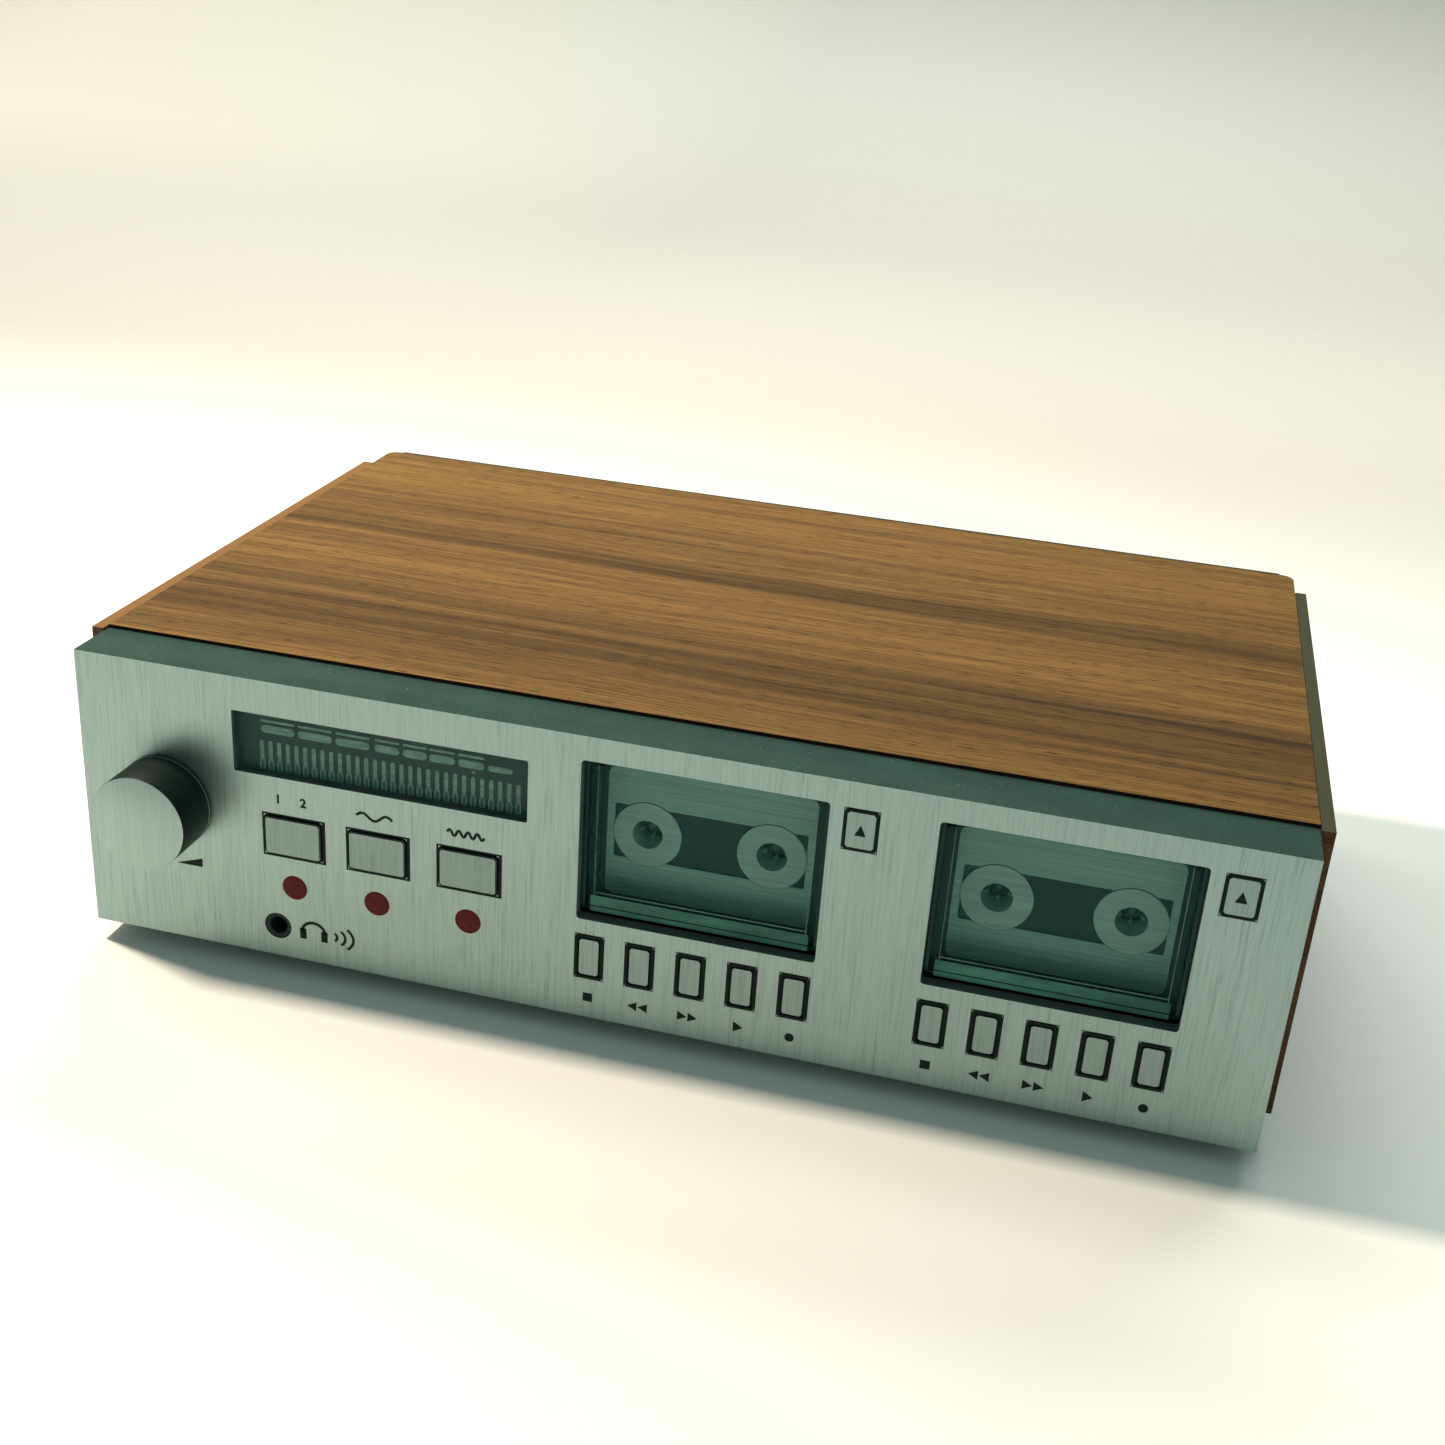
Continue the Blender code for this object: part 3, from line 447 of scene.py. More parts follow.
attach(from_mesh("fascia_marks", fascia_marks, ink_and_shade_paint), "case")
for word, x in (("1", -169.5), ("2", -157.5)):
    curve = bpy.data.curves.new("numeral", "FONT")
    curve.body, curve.size, curve.extrude, curve.offset = word, 6.0 * mm, 0.04 * mm, 0.22 * mm
    curve.align_x, curve.align_y = "CENTER", "CENTER"
    text = bpy.data.objects.new("numeral", curve)
    scene.collection.objects.link(text)
    mesh = bpy.data.meshes.new_from_object(text.evaluated_get(bpy.context.evaluated_depsgraph_get()))
    numeral_at = Matrix.Translation((x * mm, face_y, sill + 80.5 * mm))
    mesh.transform(numeral_at @ Matrix.Rotation(math.pi / 2, 4, "X"))
    bpy.data.objects.remove(text)
    mesh.materials.clear()
    mesh.materials.append(ink_and_shade_paint)
    numeral = bpy.data.objects.new(f"numeral_{word}", mesh)
    scene.collection.objects.link(numeral)
    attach(numeral, "case")

# ---------------------------------------------------------------- level knob
# Turned aluminium cap with a flat satin face, over a black-anodised skirt. A bright ring is left
# near its foot, and a set screw holds it on the control's shaft.

knob_low, knob_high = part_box("level_knob")
knob_x, knob_z = (knob_low.x + knob_high.x) / 2, (knob_low.z + knob_high.z) / 2
knob_radius = (knob_high.x - knob_low.x) / 2


def turned(profile, centre, steps=96):
    """A solid turned about the Y axis through centre (x, z), from (radius, y) points.
    Radius 0 closes an end."""
    def build(body):
        rings = []
        for radius, y in profile:
            if radius < 1e-7:
                rings.append([body.verts.new((centre[0], y, centre[1]))])
            else:
                rings.append([body.verts.new((centre[0] + radius * math.cos(math.tau * k / steps), y,
                                              centre[1] + radius * math.sin(math.tau * k / steps)))
                              for k in range(steps)])
        pairs = list(zip(rings, rings[1:]))
        if len(rings[0]) > 1 and len(rings[-1]) > 1:
            pairs.append((rings[-1], rings[0]))
        for a, b in pairs:
            for k in range(steps):
                j = (k + 1) % steps
                corners = [a[k % len(a)], a[j % len(a)], b[j % len(b)], b[k % len(b)]]
                corners = [c for n, c in enumerate(corners) if c not in corners[:n]]
                if len(corners) > 2:
                    body.faces.new(corners)
    return build


knob_skin, tree, shader, place = finish_named("knob_skin")
speckle = noise(tree, place, 1400, 3, 0.7)
front = facing(tree, "Y")
satin = mixed(tree, remapped(tree, noise(tree, stretched(tree, place, (700, 700, 20)), 1, 3), 0.35, 0.65),
              (0.310, 0.400, 0.385), (0.345, 0.440, 0.422))
black = mixed(tree, remapped(tree, speckle, 0.60, 0.72), (0.005, 0.013, 0.010), (0.035, 0.055, 0.044))
ring = add(tree, "Math", {"operation": "COMPARE"}, i0=axis_part(tree, place, "Y"), i1=face_y - 2.4 * mm,
           i2=0.22 * mm).outputs[0]
side = mixed(tree, ring, black, (0.30, 0.36, 0.32))
join(tree, mixed(tree, front, side, satin), shader, "Base Color")
join(tree, sums(tree, "MULTIPLY", sums(tree, "MAXIMUM", front, ring), 0.75), shader, "Metallic")
uneven(tree, shader, speckle, 0.36, 0.52)
shader.inputs["Specular IOR Level"].default_value = 0.2
bumped(tree, shader, speckle, 0.00005, 0.4)

kb, kf, r = knob_high.y, knob_low.y, knob_radius
hollow, boss, bore = 16 * mm, 5 * mm, 3.2 * mm
hollow_end, bore_end = kb - 3 * mm, kb - 12 * mm
profile = [(0, kf), (r - 0.5 * mm, kf), (r - 0.12 * mm, kf + 0.15 * mm), (r, kf + 0.5 * mm),
           (r, face_y - 2.75 * mm), (r - 0.25 * mm, face_y - 2.7 * mm), (r - 0.25 * mm, face_y - 2.6 * mm),
           (r, face_y - 2.55 * mm), (r, face_y - 2.25 * mm), (r - 0.45 * mm, face_y - 2.2 * mm),
           (r - 0.45 * mm, face_y - 1.6 * mm), (r, face_y - 1.55 * mm), (r, kb - 0.2 * mm),
           (r - 0.3 * mm, kb), (hollow, kb), (hollow, hollow_end), (boss, hollow_end), (boss, kb),
           (bore, kb), (bore, bore_end), (0, bore_end)]
knob = from_mesh("level_knob_cap", turned(profile, (knob_x, knob_z)), knob_skin, 25)
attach(knob, "level_control")
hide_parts("level_knob")

# The lamp is high and far off to the left, so the knob leaves no shadow of its own on the table.
unshaded = bpy.data.collections.new("lamp_passes_by")
unshaded.objects.link(knob)
unshaded.objects.link(case_nodes["level_pot_shaft"])
table_lamp.light_linking.blocker_collection = unshaded
for passed in unshaded.collection_objects:
    passed.light_linking.link_state = "EXCLUDE"

# ---------------------------------------------------------------- selectors, lamps and headphone socket
# Push caps cut from the same brushed strip as the fascia. Their walls carry painted shade, and a black line
# of painted shadow runs round each slot. Under each one a red lens is pushed into a hole, with a ring of
# painted shade at its rim. The headphone socket is black moulded plastic with a sprung contact inside.


def capped(name, wall, lip, share):
    """Brushed on its outer face. From lip inwards, the walls and any groove cut in the cap carry painted
    shade: near-black, not metal.
    """
    # wall is painted shade: the cap's side walls take this near-black colour
    made = brushed(name, times(share, face_light), times(share, face_dark), wall)
    tree = made.node_tree
    shader = next(n for n in tree.nodes if n.type == "BSDF_PRINCIPLED")
    place = next(n for n in tree.nodes if n.type == "TEX_COORD").outputs["Object"]
    # painted shade: behind the lip the cap turns near-black and loses its metal
    depth = remapped(tree, axis_part(tree, place, "Y"), lip, lip + 0.15 * mm)
    for word, value in (("Base Color", (0.010, 0.018, 0.018)), ("Metallic", (0, 0, 0))):
        old = shader.inputs[word].links[0].from_socket
        join(tree, mixed(tree, depth, old, value), shader, word)
    return made


selector_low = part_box("selector_button_1")[0]
selector_metal = capped("selector_metal", (0.012, 0.022, 0.020), selector_low.y + 0.5 * mm, 0.72)
clad(selector_metal, *[f"selector_button_{n}" for n in (1, 2, 3)])


def bordered(body, x0, x1, z0, z1, thick, y, side=None):
    """A thin black border inside that outline; side is the right-hand bar's own thickness."""
    side = side or thick
    for a, b, c, d in ((x0, x1, z1 - thick, z1), (x0, x1, z0, z0 + thick),
                       (x0, x0 + thick, z0 + thick, z1 - thick), (x1 - side, x1, z0 + thick, z1 - thick)):
        printed(body, [(a, c), (b, c), (b, d), (a, d)], y)


# Painted shadow: a black line round each selector slot stands in for the shaded gap, thicker on the right
# where the cap's shaded side shows.
def slot_borders(body):
    out, line, right_shadow_line = 0.8 * mm, 0.9 * mm, 1.5 * mm
    for n in (1, 2, 3):
        low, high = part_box(f"selector_button_{n}")
        bordered(body, low.x - out, high.x + 1.6 * out, low.z - out, high.z + out, line, face_y, right_shadow_line)


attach(from_mesh("selector_slot_painted_shadow", slot_borders, ink_and_shade_paint), "case")

lens_red, tree, shader, place = finish_named("red_lens")
haze = noise(tree, place, 420, 4, 0.6)
toned(tree, shader, haze, 0.35, 0.7, (0.070, 0.006, 0.007), (0.118, 0.008, 0.011))
uneven(tree, shader, haze, 0.30, 0.45)
shader.inputs["Specular IOR Level"].default_value = 0.12
bumped(tree, shader, haze, 0.00005, 0.3)
# Painted shade: behind the front of the dome the lens turns near-black, a dark ring of shade at its rim.
lens_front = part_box("indicator_led_1")[0].y
painted_rim_shade = remapped(tree, axis_part(tree, place, "Y"), lens_front + 0.35 * mm, lens_front + 0.65 * mm)
plain_lens_colour = shader.inputs["Base Color"].links[0].from_socket
join(tree, mixed(tree, painted_rim_shade, plain_lens_colour, (0.020, 0.012, 0.011)), shader, "Base Color")

black_plastic, tree, shader, place = finish_named("black_plastic")
grainy = noise(tree, place, 1800, 3, 0.6)
soft = noise(tree, place, 25, 3, 0.5)
toned(tree, shader, soft, 0.3, 0.7, (0.013, 0.024, 0.026), (0.022, 0.037, 0.039))
uneven(tree, shader, grainy, 0.35, 0.6)
bumped(tree, shader, grainy, 0.00006, 0.5)
shader.inputs["Specular IOR Level"].default_value = 0.15

for n in (1, 2, 3):
    low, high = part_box(f"indicator_led_{n}")
    cx, cz, r = (low.x + high.x) / 2, (low.z + high.z) / 2, (high.x - low.x) / 2
    dome = [(0, low.y)] + [(r * 0.9 * math.sin(a), low.y + 0.5 * mm * (1 - math.cos(a)))
                           for a in (math.radians(d) for d in range(15, 91, 15))]
    shoulder = low.y + 0.9 * mm
    dome += [(r * 0.9, shoulder), (r - 0.25 * mm, shoulder), (r - 0.25 * mm, high.y), (0, high.y)]
    lens_piece = from_mesh(f"red_lens_{n}", turned(dome, (cx, cz), 48), lens_red, 35)
    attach(lens_piece, "case")
    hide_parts(f"indicator_led_{n}")

low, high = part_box("headphone_jack")
jack_x, jack_z, jack_r = -172.1 * mm, sill + 15.5 * mm, 6.3 * mm
mouth, bottom = 4.2 * mm, high.y - 2 * mm
inside = [(mouth, low.y + 0.5 * mm), (4.6 * mm, low.y + 0.1 * mm), (jack_r - 0.6 * mm, low.y),
          (jack_r - 0.15 * mm, low.y + 0.15 * mm), (jack_r - 0.1 * mm, face_y + 0.6 * mm),
          (jack_r - 0.3 * mm, face_y + 1.5 * mm), (jack_r - 0.3 * mm, high.y), (0, high.y), (0, bottom),
          (mouth, bottom)]
socket = from_mesh("headphone_socket", turned(inside, (jack_x, jack_z), 56), black_plastic, 30)
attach(socket, "case")
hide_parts("headphone_jack")

# ---------------------------------------------------------------- display
# A dark green glass over a vacuum display. Its pale phosphor marks are laid on the module's face:
# a row of thirty level bars and, over them, split band markers.

low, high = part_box("display_module")
module_y = low.y
glow, tree, shader, place = finish_named("display_marks")
patch = noise(tree, stretched(tree, place, (160, 160, 500)), 1, 4, 0.6)
join(tree, ramp(tree, patch, [(0.32, (0.21, 0.42, 0.35)), (0.5, (0.34, 0.62, 0.53)),
                              (0.68, (0.52, 0.82, 0.70))]), shader, "Base Color")
uneven(tree, shader, patch, 0.4, 0.6)
module_skin, tree, shader, place = finish_named("display_module_skin")
tone = noise(tree, stretched(tree, place, (20, 20, 60)), 1, 3)
weave = noise(tree, place, 900, 2)
toned(tree, shader, tone, 0.3, 0.7, (0.010, 0.044, 0.036), (0.020, 0.070, 0.057))
uneven(tree, shader, weave, 0.35, 0.5)
clad(module_skin, "display_module")


def row_tree():
    """Copies the piece along a row: Count of them, Step apart."""
    made = bpy.data.node_groups.new("row_of_pieces", "GeometryNodeTree")
    face = made.interface
    face.new_socket("Geometry", in_out="INPUT", socket_type="NodeSocketGeometry")
    face.new_socket("Count", in_out="INPUT", socket_type="NodeSocketInt")
    face.new_socket("Step", in_out="INPUT", socket_type="NodeSocketVector")
    face.new_socket("Finish", in_out="INPUT", socket_type="NodeSocketMaterial")
    face.new_socket("Geometry", in_out="OUTPUT", socket_type="NodeSocketGeometry")
    given, result = made.nodes.new("NodeGroupInput"), made.nodes.new("NodeGroupOutput")
    line = made.nodes.new("GeometryNodeMeshLine")
    spread = made.nodes.new("GeometryNodeInstanceOnPoints")
    real = made.nodes.new("GeometryNodeRealizeInstances")
    dressed = made.nodes.new("GeometryNodeSetMaterial")
    joins = ((given.outputs["Count"], line.inputs["Count"]),
             (given.outputs["Step"], line.inputs["Offset"]),
             (line.outputs[0], spread.inputs["Points"]),
             (given.outputs["Geometry"], spread.inputs["Instance"]),
             (spread.outputs[0], real.inputs[0]),
             (real.outputs[0], dressed.inputs["Geometry"]),
             (given.outputs["Finish"], dressed.inputs["Material"]),
             (dressed.outputs[0], result.inputs[0]))
    for start, end in joins:
        made.links.new(start, end)
    return made


rows_of = row_tree()


def plain_mesh(source, name):
    """What the modifiers make, as a mesh of its own. The object it came from is removed."""
    bpy.context.view_layer.update()
    mesh = bpy.data.meshes.new_from_object(source.evaluated_get(bpy.context.evaluated_depsgraph_get()))
    bpy.data.objects.remove(source)
    made = bpy.data.objects.new(name, mesh)
    scene.collection.objects.link(made)
    return made


def in_a_row(name, unit, count, step, first, finish):
    """unit, made about the origin, repeated from first on, as one plain mesh."""
    seed = from_mesh(name + "_unit", unit, finish)
    change = seed.modifiers.new("row", "NODES")
    change.node_group = rows_of
    words = {item.name: item.identifier for item in rows_of.interface.items_tree if item.in_out == "INPUT"}
    for word, value in (("Count", count), ("Step", step), ("Finish", finish)):
        change[words[word]] = value
    made = plain_mesh(seed, name)
    made.data.transform(Matrix.Translation(first))
    return made


def together(name, pieces):
    """Several meshes of one finish as one piece."""
    body = bmesh.new()
    for one in pieces:
        body.from_mesh(one.data)
    mesh = bpy.data.meshes.new(name)
    body.to_mesh(mesh)
    body.free()
    mesh.materials.append(pieces[0].data.materials[0])
    for one in pieces:
        bpy.data.objects.remove(one)
    made = bpy.data.objects.new(name, mesh)
    scene.collection.objects.link(made)
    return made


def pill(w, h, depth=0.16 * mm):
    """A flat mark with round ends, upright or lying, whichever way it is longer."""
    def build(body):
        r, steps = min(w, h) / 2, 5
        outline = []
        for cx, cz, a0 in ((w / 2 - r, h / 2 - r, 0), (r - w / 2, h / 2 - r, 90), (r - w / 2, r - h / 2, 180),
                           (w / 2 - r, r - h / 2, 270)):
            outline += [(cx + r * math.cos(math.radians(a0 + 90 * k / steps)),
                         cz + r * math.sin(math.radians(a0 + 90 * k / steps))) for k in range(steps + 1)]
        printed(body, outline, 0.0, depth)
    return build


bar_count, bar_first, bar_step = 30, -179.4 * mm, (4.12 * mm, 0, 0)
bar_low, bar_high = sill + 89.6 * mm, sill + 105.2 * mm
cell_high = 7.4 * mm
tall_low = bar_low + cell_high - 0.6 * mm
tall = in_a_row("tall_bars", pill(1.9 * mm, bar_high - tall_low, 0.22 * mm), bar_count, bar_step,
                (bar_first, module_y, (tall_low + bar_high) / 2), glow)


def cell(body):
    """A small upright ring under each bar, in twelve short strokes."""
    half_wide, half_tall = 1.15 * mm, cell_high / 2 - 0.5 * mm
    angles = [math.tau * k / 12 for k in range(13)]
    stroke(body, [(half_wide * math.cos(a), half_tall * math.sin(a)) for a in angles], 0.75 * mm, 0.0)


cell_at = (bar_first, module_y, bar_low + cell_high / 2)
rings = in_a_row("cell_rings", cell, bar_count, bar_step, cell_at, glow)
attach(together("level_bars", [tall, rings]), "case")
cell_skin, tree, shader, place = finish_named("display_cells")
patch = noise(tree, stretched(tree, place, (160, 160, 500)), 1, 4, 0.6)
toned(tree, shader, patch, 0.3, 0.7, (0.075, 0.17, 0.14), (0.16, 0.31, 0.26))
uneven(tree, shader, patch, 0.4, 0.6)
cells = in_a_row("level_cells", pill(2.6 * mm, cell_high, 0.03 * mm), bar_count, bar_step, cell_at, cell_skin)
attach(cells, "case")

# the left end and the width of each marker over the bars, in millimetres
markers = [(-179.6, 16.0), (-161.9, 16.0), (-144.3, 16.0), (-125.9, 11.4), (-112.9, 11.2), (-100.7, 11.8),
           (-87.4, 11.8), (-74.0, 11.2)]
strips = []
for k, (left, wide) in enumerate(markers):
    x = (left + wide / 2) * mm
    # a thin line over a broad one, and a single middling one at the right-hand end
    for tall_by, height in ((1.1, 114.6), (3.6, 110.8)) if k < 7 else ((2.6, 110.6),):
        strips.append(in_a_row("strip", pill(wide * mm, tall_by * mm), 1, (0, 0, 0),
                               (x, module_y, sill + height * mm), glow))
dot_at = (-80.3 * mm, module_y, sill + 107.4 * mm)
strips.append(in_a_row("dot", pill(1.4 * mm, 1.1 * mm), 1, (0, 0, 0), dot_at, glow))
marks = together("band_markers", strips)
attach(marks, "case")


def glazed(name, tint, body_share, tint_two):
    """Tinted glass that shows what is behind it: the share of its own colour is body_share."""
    made, tree, shader, place = finish_named(name)
    wave = noise(tree, stretched(tree, place, (8, 8, 8)), 1, 2)
    join(tree, mixed(tree, remapped(tree, wave, 0.3, 0.7), tint, tint_two), shader, "Base Color")
    uneven(tree, shader, noise(tree, place, 60, 2), 0.12, 0.17)
    shader.inputs["Alpha"].default_value = body_share
    shader.inputs["Specular IOR Level"].default_value = 0.2
    return made


display_pane = glazed("display_glass_tint", (0.004, 0.050, 0.042), 0.24, (0.006, 0.064, 0.054))
clad(display_pane, "display_glass")

# ---------------------------------------------------------------- transport keys and eject buttons
# Each key is a brushed cap with a groove milled round its face; the eject buttons are smaller grooved caps.
# The groove is painted black up to the cap's edge as shade, and a thin black line of painted shadow runs
# round each slot.

key_metal = capped("key_metal", (0.010, 0.018, 0.018), face_y + 0.25 * mm, 0.82)
clad(key_metal, *[f"key_{w}_{d}" for w in key_word for d in "ab"], "eject_button_a", "eject_button_b")
caps = [(f"key_{w}_{d}", f"key_{w}_{d}") for d in "ab" for w in key_word]
caps += [(f"eject_button_{d}", f"eject_{d}") for d in "ab"]

# behind the fascia each cap has a flange that is this much wider than its slot, on every side
flange_lap = 0.6 * mm


def inset(node, by):
    low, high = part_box(node)
    return low.x + by, high.x - by, low.z + by, high.z - by


def painted_groove_shade(body, x0, x1, z0, z1, y):
    """A black frame of painted shade in the groove. Its corners are cut, to clear the slot's rounded ones."""
    thick, cut = 1.1 * mm, 1.0 * mm
    for inner, outer, back_off in ((z1 - thick, z1, -cut), (z0 + thick, z0, cut)):
        printed(body, [(x0, inner), (x1, inner), (x1, outer + back_off), (x1 - cut, outer), (x0 + cut, outer),
                       (x0, outer + back_off)], y)
    for a, b in ((x0, x0 + thick), (x1 - thick, x1)):
        printed(body, [(a, z0 + thick), (b, z0 + thick), (b, z1 - thick), (a, z1 - thick)], y)


for node, body_name in caps:
    edge = inset(node, flange_lap + 0.1 * mm)
    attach(from_mesh(f"painted_groove_shade_{node}",
                      lambda body, e=edge, y=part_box(node)[0].y: painted_groove_shade(body, *e, y), ink_and_shade_paint), body_name)


# Painted shadow: a thin black line just outside each slot stands in for the shaded gap round the cap.
def key_borders(body):
    line = 0.35 * mm
    for node, body_name in caps:
        bordered(body, *inset(node, flange_lap - line), line, face_y)


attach(from_mesh("key_slot_painted_shadow", key_borders, ink_and_shade_paint), "case")

# ---------------------------------------------------------------- cassettes
# A smoked plastic shell under a pale brushed label plate, and two pale moulded reels that turn in it.
# Shell, label and reels all ride in the door's holder.

label_skin, tree, shader, place = finish_named("label_foil")
lines = noise(tree, stretched(tree, place, (9, 900, 900)), 1, 4, 0.65)
cloud = noise(tree, place, 22, 3, 0.5)
shade = ramp(tree, lines, [(0.34, (0.150, 0.365, 0.305)), (0.5, (0.215, 0.455, 0.385)),
                           (0.66, (0.30, 0.57, 0.485))])
faded = remapped(tree, cloud, 0.3, 0.7, 0, 0.35)
join(tree, mixed(tree, faded, shade, (0.20, 0.43, 0.37)), shader, "Base Color")
uneven(tree, shader, lines, 0.40, 0.6)
shader.inputs["Metallic"].default_value = 0.2
bumped(tree, shader, lines, 0.00004, 0.4)
clad(label_skin, "cassette_label_a", "cassette_label_b")

smoked, tree, shader, place = finish_named("smoked_plastic")
swirl = noise(tree, place, 30, 3)
toned(tree, shader, swirl, 0.3, 0.7, (0.006, 0.036, 0.034), (0.010, 0.052, 0.046))
uneven(tree, shader, noise(tree, place, 300, 3), 0.16, 0.28)
shader.inputs["Specular IOR Level"].default_value = 0.15
clad(smoked, "cassette_shell_a", "cassette_shell_b", "door_frame_a", "door_frame_b")

reel_skin, tree, shader, place = finish_named("reel_plastic")
lines = noise(tree, stretched(tree, place, (16, 700, 700)), 1, 4, 0.6)
join(tree, ramp(tree, lines, [(0.34, (0.22, 0.44, 0.375)), (0.66, (0.33, 0.60, 0.51))]), shader, "Base Color")
uneven(tree, shader, lines, 0.35, 0.5)
bumped(tree, shader, lines, 0.00004, 0.3)
clad(reel_skin, *[f"cassette_reel_{s}_{d}" for s in ("left", "right") for d in "ab"])

# ---------------------------------------------------------------- cassette doors
# A thick bevelled pane of green glass bonded into a smoked holder that tips out about its lower edge.
# Thin pale lines on the pane's face are painted highlights for light caught by its edges, and two pale bands
# at its foot are painted reflection.

door_pane = glazed("door_glass_tint", (0.008, 0.070, 0.060), 0.17, (0.012, 0.082, 0.070))
clad(door_pane, "door_window_a", "door_window_b")

# Painted highlights: thin pale lines on the pane's face stand in for light caught by its edges.
painted_edge_glint, tree, shader, place = finish_named("painted_glass_glint")
glint = noise(tree, stretched(tree, place, (60, 60, 60)), 1, 3, 0.6)
toned(tree, shader, glint, 0.35, 0.7, (0.040, 0.115, 0.095), (0.115, 0.240, 0.200))
uneven(tree, shader, glint, 0.2, 0.4)
# Painted reflection: pale bands on the holder at the pane's foot stand in for light seen in its bevelled
# foot.
bevel_light_paint, tree, shader, place = finish_named("painted_bevel_light")
flow = noise(tree, stretched(tree, place, (30, 30, 140)), 1, 4, 0.6)
toned(tree, shader, flow, 0.35, 0.7, (0.028, 0.110, 0.082), (0.078, 0.235, 0.182))
uneven(tree, shader, flow, 0.3, 0.5)
shader.inputs["Specular IOR Level"].default_value = 0.12


def bars_of(rects, depth, y):
    """Flat bars (x0, x1, z0, z1) lying on a face at y."""
    def build(body):
        for x0, x1, z0, z1 in rects:
            printed(body, [(x0, z0), (x1, z0), (x1, z1), (x0, z1)], y, depth)
    return build


for deck in "ab":
    low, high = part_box(f"door_window_{deck}")
    pane_front, holder_front = low.y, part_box(f"door_frame_{deck}")[0].y
    left, right_end, foot, head = low.x + 1.6 * mm, high.x - 1.6 * mm, low.z + 1.4 * mm, high.z - 1.6 * mm
    shelf = foot + 5.6 * mm
    lines = [(left + 2.0 * mm, left + 2.3 * mm, foot, head),
             (right_end - 2.0 * mm, right_end - 1.7 * mm, foot, head),
             (left + 2.3 * mm, right_end - 2.0 * mm, shelf, shelf + 0.4 * mm)]
    edges = from_mesh(f"painted_glint_lines_{deck}", bars_of(lines, 0.05 * mm, pane_front), painted_edge_glint)
    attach(edges, f"door_{deck}")
    strip = [(left + 0.6 * mm, right_end - 0.6 * mm, foot - 3.3 * mm, foot - 1.0 * mm),
             (left + 0.6 * mm, right_end - 0.6 * mm, foot - 0.5 * mm, shelf - 1.2 * mm)]
    band = from_mesh(f"painted_foot_reflection_{deck}", bars_of(strip, 0.04 * mm, holder_front), bevel_light_paint)
    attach(band, f"door_{deck}")

# ---------------------------------------------------------------- drive parts
# Spindles are moulded in dark acetal and the flywheels are turned in brass. The motor and the transformer
# are in plated cans, the main board is green laminate, and the rear sockets' panel is black plastic.

acetal, tree, shader, place = finish_named("dark_acetal")
moulded = noise(tree, place, 700, 3, 0.6)
toned(tree, shader, moulded, 0.3, 0.7, (0.045, 0.145, 0.122), (0.072, 0.190, 0.160))
uneven(tree, shader, moulded, 0.45, 0.65)
clad(acetal, *[f"spindle_{s}_{d}" for s in ("left", "right") for d in "ab"])
brass = plated("turned_brass", (0.55, 0.42, 0.20), (0.40, 0.29, 0.13), 0.3, 600)
clad(brass, "flywheel_a", "flywheel_b")
clad(black_plastic, "headphone_jack", "mains_inlet", "rear_jack_panel")
motor_can = plated("motor_can", (0.45, 0.46, 0.46), (0.30, 0.31, 0.32), 0.3, 90)
clad(motor_can, "drive_motor", "power_transformer")
board_green, tree, shader, place = finish_named("circuit_board")
tracks = add(tree, "TexBrick", Vector=stretched(tree, place, (160, 160, 160)), Scale=1.0, Mortar_Size=0.06,
             Color1=(0.02, 0.09, 0.04, 1), Color2=(0.025, 0.11, 0.05, 1), Mortar=(0.06, 0.16, 0.07, 1))
join(tree, tracks.outputs["Color"], shader, "Base Color")
uneven(tree, shader, noise(tree, place, 200, 3), 0.3, 0.5)
clad(board_green, "main_board")

# ---------------------------------------------------------------- walnut case
# Top and sides are board veneered in walnut, oiled and a little open-pored. The grain runs across the deck
# on top and front to back on the sides. The cut edges are stained dark, but for the left side's top edge,
# which is veneered like the top.


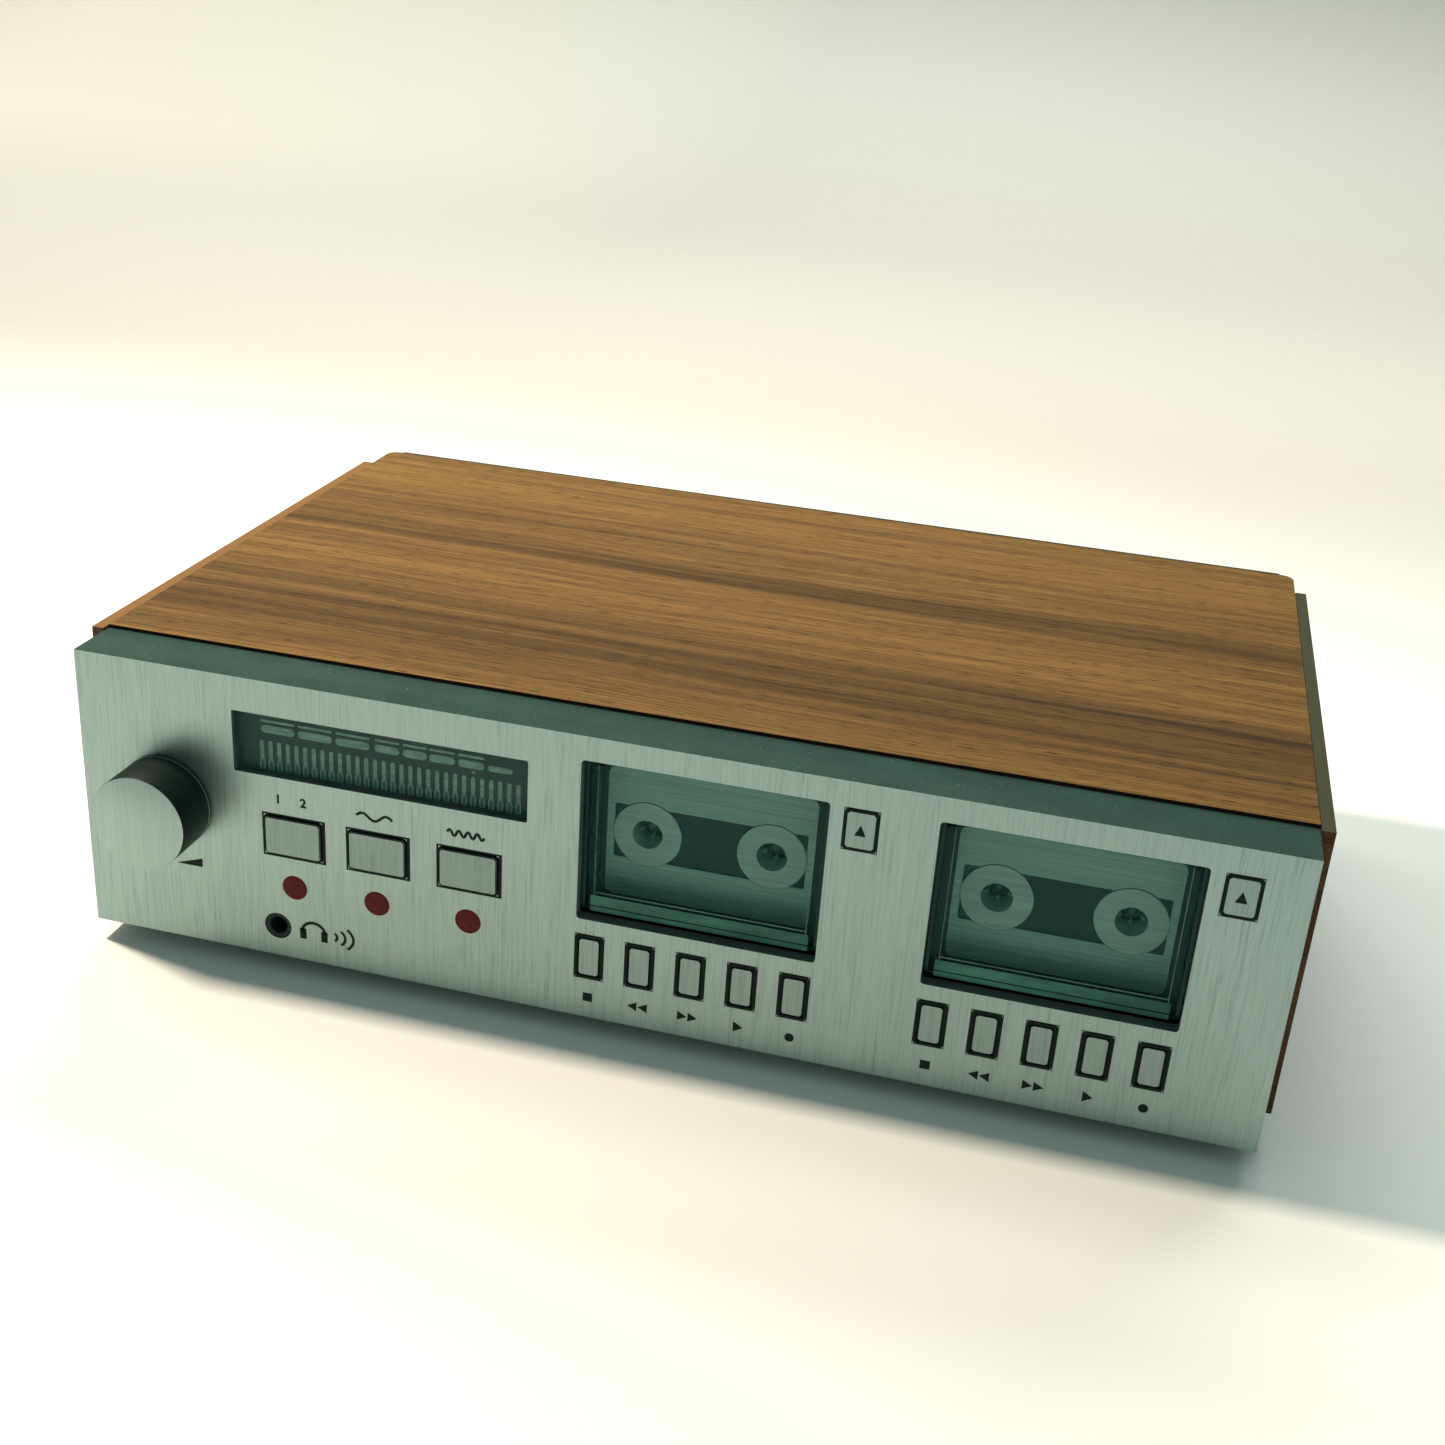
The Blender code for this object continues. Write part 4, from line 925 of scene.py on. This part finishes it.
def walnut(name, along, tones, edge_axis, edge_low, edge_high, edge_colour, dark_front=0.0):
    """Straight-grained walnut, with the cut edges at edge_low and edge_high in their own colour.
    tones runs from light to dark. dark_front is how dark the band of heartwood near the front is."""
    light, middle_tone, dark = tones
    made, tree, shader, place = finish_named(name)
    slow = {"X": (0.55, 17, 17), "Y": (17, 0.55, 17)}[along]
    mid = {"X": (2.2, 120, 120), "Y": (120, 2.2, 120)}[along]
    fine = {"X": (14, 900, 900), "Y": (900, 14, 900)}[along]
    pore = {"X": (85, 1500, 1500), "Y": (1500, 85, 1500)}[along]
    bend = noise(tree, stretched(tree, place, (3, 5, 3)), 1, 2)
    sway = 4 * mm
    aside = add(tree, "CombineXYZ", Y=remapped(tree, bend, 0.3, 0.7, -sway, sway)).outputs[0]
    warped = add(tree, "VectorMath", {"operation": "ADD"}, i0=place, i1=aside).outputs[0]
    board = noise(tree, stretched(tree, warped, slow, shift=(0.4, 2.1, 0)), 1, 2, 0.45)
    streak = noise(tree, stretched(tree, warped, mid, shift=(1.3, 0.2, 0)), 1, 4, 0.6)
    fibre = noise(tree, stretched(tree, warped, fine), 1, 3, 0.6)
    pores = noise(tree, stretched(tree, warped, pore), 1, 2, 0.5)
    base = sums(tree, "ADD", sums(tree, "MULTIPLY", board, 0.45), sums(tree, "MULTIPLY", streak, 0.55))
    if dark_front:
        # the band's middle line, and its half width at the left and the right end of the panel
        band_y, narrow, wide, panel_end = -0.092, 0.034, 0.066, 0.26
        spread = add(tree, "SeparateXYZ", Vector=place).outputs
        reach = sums(tree, "ABSOLUTE", sums(tree, "ADD", spread["Y"], -band_y))
        width = remapped(tree, spread["X"], -panel_end, panel_end, narrow, wide)
        heart = remapped(tree, sums(tree, "DIVIDE", reach, width), 1.0, 0.2, 0.0, dark_front)
        base = sums(tree, "SUBTRACT", base, heart)
    colour = ramp(tree, base, [(0.30, dark), (0.42, middle_tone), (0.56, light)])
    colour = mixed(tree, remapped(tree, fibre, 0.36, 0.70, 0.0, 0.75), colour, times(0.50, middle_tone))
    opened = remapped(tree, pores, 0.61, 0.67)
    colour = mixed(tree, sums(tree, "MULTIPLY", opened, 0.85), colour, times(0.35, dark))
    level = axis_part(tree, place, edge_axis)
    rim = sums(tree, "MAXIMUM", remapped(tree, level, edge_low + 0.5 * mm, edge_low),
               remapped(tree, level, edge_high - 0.5 * mm, edge_high))
    colour = mixed(tree, rim, colour, edge_colour)
    join(tree, colour, shader, "Base Color")
    uneven(tree, shader, fibre, 0.50, 0.66)
    shader.inputs["Specular IOR Level"].default_value = 0.10
    bumped(tree, shader, sums(tree, "SUBTRACT", fibre, opened), 0.00009, 0.4)
    return made


low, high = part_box("top_panel")
top_tones = (0.226, 0.125, 0.034), (0.130, 0.073, 0.022), (0.028, 0.017, 0.009)
top_wood = walnut("walnut_top", "X", top_tones, "Y", low.y, high.y, (0.030, 0.016, 0.012), dark_front=0.10)
clad(top_wood, "top_panel")
low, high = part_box("side_panel_left")
side_tones = (0.17, 0.085, 0.035), (0.11, 0.055, 0.025), (0.055, 0.028, 0.015)
for hand, rim in (("left", (0.190, 0.100, 0.036)), ("right", (0.050, 0.052, 0.030))):
    side_wood = walnut(f"walnut_side_{hand}", "Y", side_tones, "Z", low.z, high.z, rim)
    clad(side_wood, f"side_panel_{hand}")

# ---------------------------------------------------------------- back panel and feet
# A black-painted steel back, held by two rows of bright screws, with bright socket sleeves and inlet pins.
# Four moulded rubber feet are screwed up into the pan.

back_paint, tree, shader, place = finish_named("back_paint")
peel = noise(tree, place, 500, 4, 0.6)
toned(tree, shader, noise(tree, place, 18, 3), 0.3, 0.7, (0.016, 0.024, 0.022), (0.026, 0.036, 0.032))
uneven(tree, shader, peel, 0.42, 0.6)
bumped(tree, shader, peel, 0.00008, 0.5)
clad(back_paint, "back_panel")
bright_steel = plated("bright_steel", (0.62, 0.63, 0.62), (0.48, 0.49, 0.49), 0.25, 500)


def screw_head(body):
    """A pan head with a cross cut in it, seated on y = 0 and facing the back."""
    head = [(0, 1.1 * mm), (1.4 * mm, 1.05 * mm), (2.4 * mm, 0.75 * mm), (3.0 * mm, 0), (0, 0)]
    turned(head, (0, 0), 24)(body)
    for wide, tall in ((2.8 * mm, 0.6 * mm), (0.6 * mm, 2.8 * mm)):
        printed(body, square(0, 0, wide, tall), 1.16 * mm, 0.2 * mm)


low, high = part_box("back_panel")
first_screw, screw_step = -248 * mm, (124 * mm, 0, 0)
rows = [in_a_row("screws", screw_head, 5, screw_step, (first_screw, high.y, z), bright_steel)
        for z in (low.z + 7 * mm, high.z - 12 * mm)]
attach(together("back_screws", rows), "case")
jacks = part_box("rear_jack_panel")[1]
inner, outer, length = 4.63 * mm, 4.95 * mm, 4.6 * mm
tube = turned([(inner, 0), (outer, 0), (outer, length), (inner, length)], (0, 0), 32)
first_socket, socket_step = (-188.5 * mm, jacks.y - 4.8 * mm, 70 * mm), (25 * mm, 0, 0)
sleeve = in_a_row("socket_sleeves", tube, 4, socket_step, first_socket, bright_steel)
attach(sleeve, "case")
low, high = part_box("mains_inlet")
middle = (low + high) / 2
pin_r, pin_long = 1.2 * mm, 10 * mm
pin = [(0, 0), (pin_r, 0), (pin_r, 9.5 * mm), (0.8 * mm, pin_long), (0, pin_long)]
first_pin, pin_step = (middle.x - 4.3 * mm, high.y - 15 * mm, middle.z), (8.6 * mm, 0, 0)
pins = in_a_row("inlet_pins", turned(pin, (0, 0), 20), 2, pin_step, first_pin, bright_steel)
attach(pins, "case")

rubber, tree, shader, place = finish_named("foot_rubber")
dust = noise(tree, place, 350, 5, 0.7)
toned(tree, shader, dust, 0.45, 0.8, (0.012, 0.013, 0.013), (0.045, 0.047, 0.045))
uneven(tree, shader, dust, 0.65, 0.9)
bumped(tree, shader, dust, 0.0001, 0.4)


def upright(build):
    """The same turned shape, stood on end about its own centre."""
    def built(body):
        build(body)
        bmesh.ops.rotate(body, verts=body.verts, cent=(0, 0, 0), matrix=Matrix.Rotation(math.pi / 2, 3, "X"))
    return built


for end in ("front", "rear"):
    for hand in ("left", "right"):
        low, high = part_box(f"foot_{end}_{hand}")
        r, h = (high.x - low.x) / 2, high.z - low.z
        screw_hole, hole_end = 4.2 * mm, 2.6 * mm
        shape = [(screw_hole, hole_end), (screw_hole, 0.6 * mm), (4.8 * mm, 0), (r * 0.80, 0),
                 (r * 0.86, 0.5 * mm), (r * 0.90, 1.6 * mm), (r, h * 0.72), (r, h - 0.4 * mm),
                 (r - 0.5 * mm, h), (0, h), (0, hole_end)]
        foot = from_mesh(f"foot_pad_{end}_{hand}", upright(turned(shape, (0, 0), 48)), rubber, 30)
        foot.data.transform(Matrix.Translation(((low.x + high.x) / 2, (low.y + high.y) / 2, low.z)))
        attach(foot, "case")
        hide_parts(f"foot_{end}_{hand}")
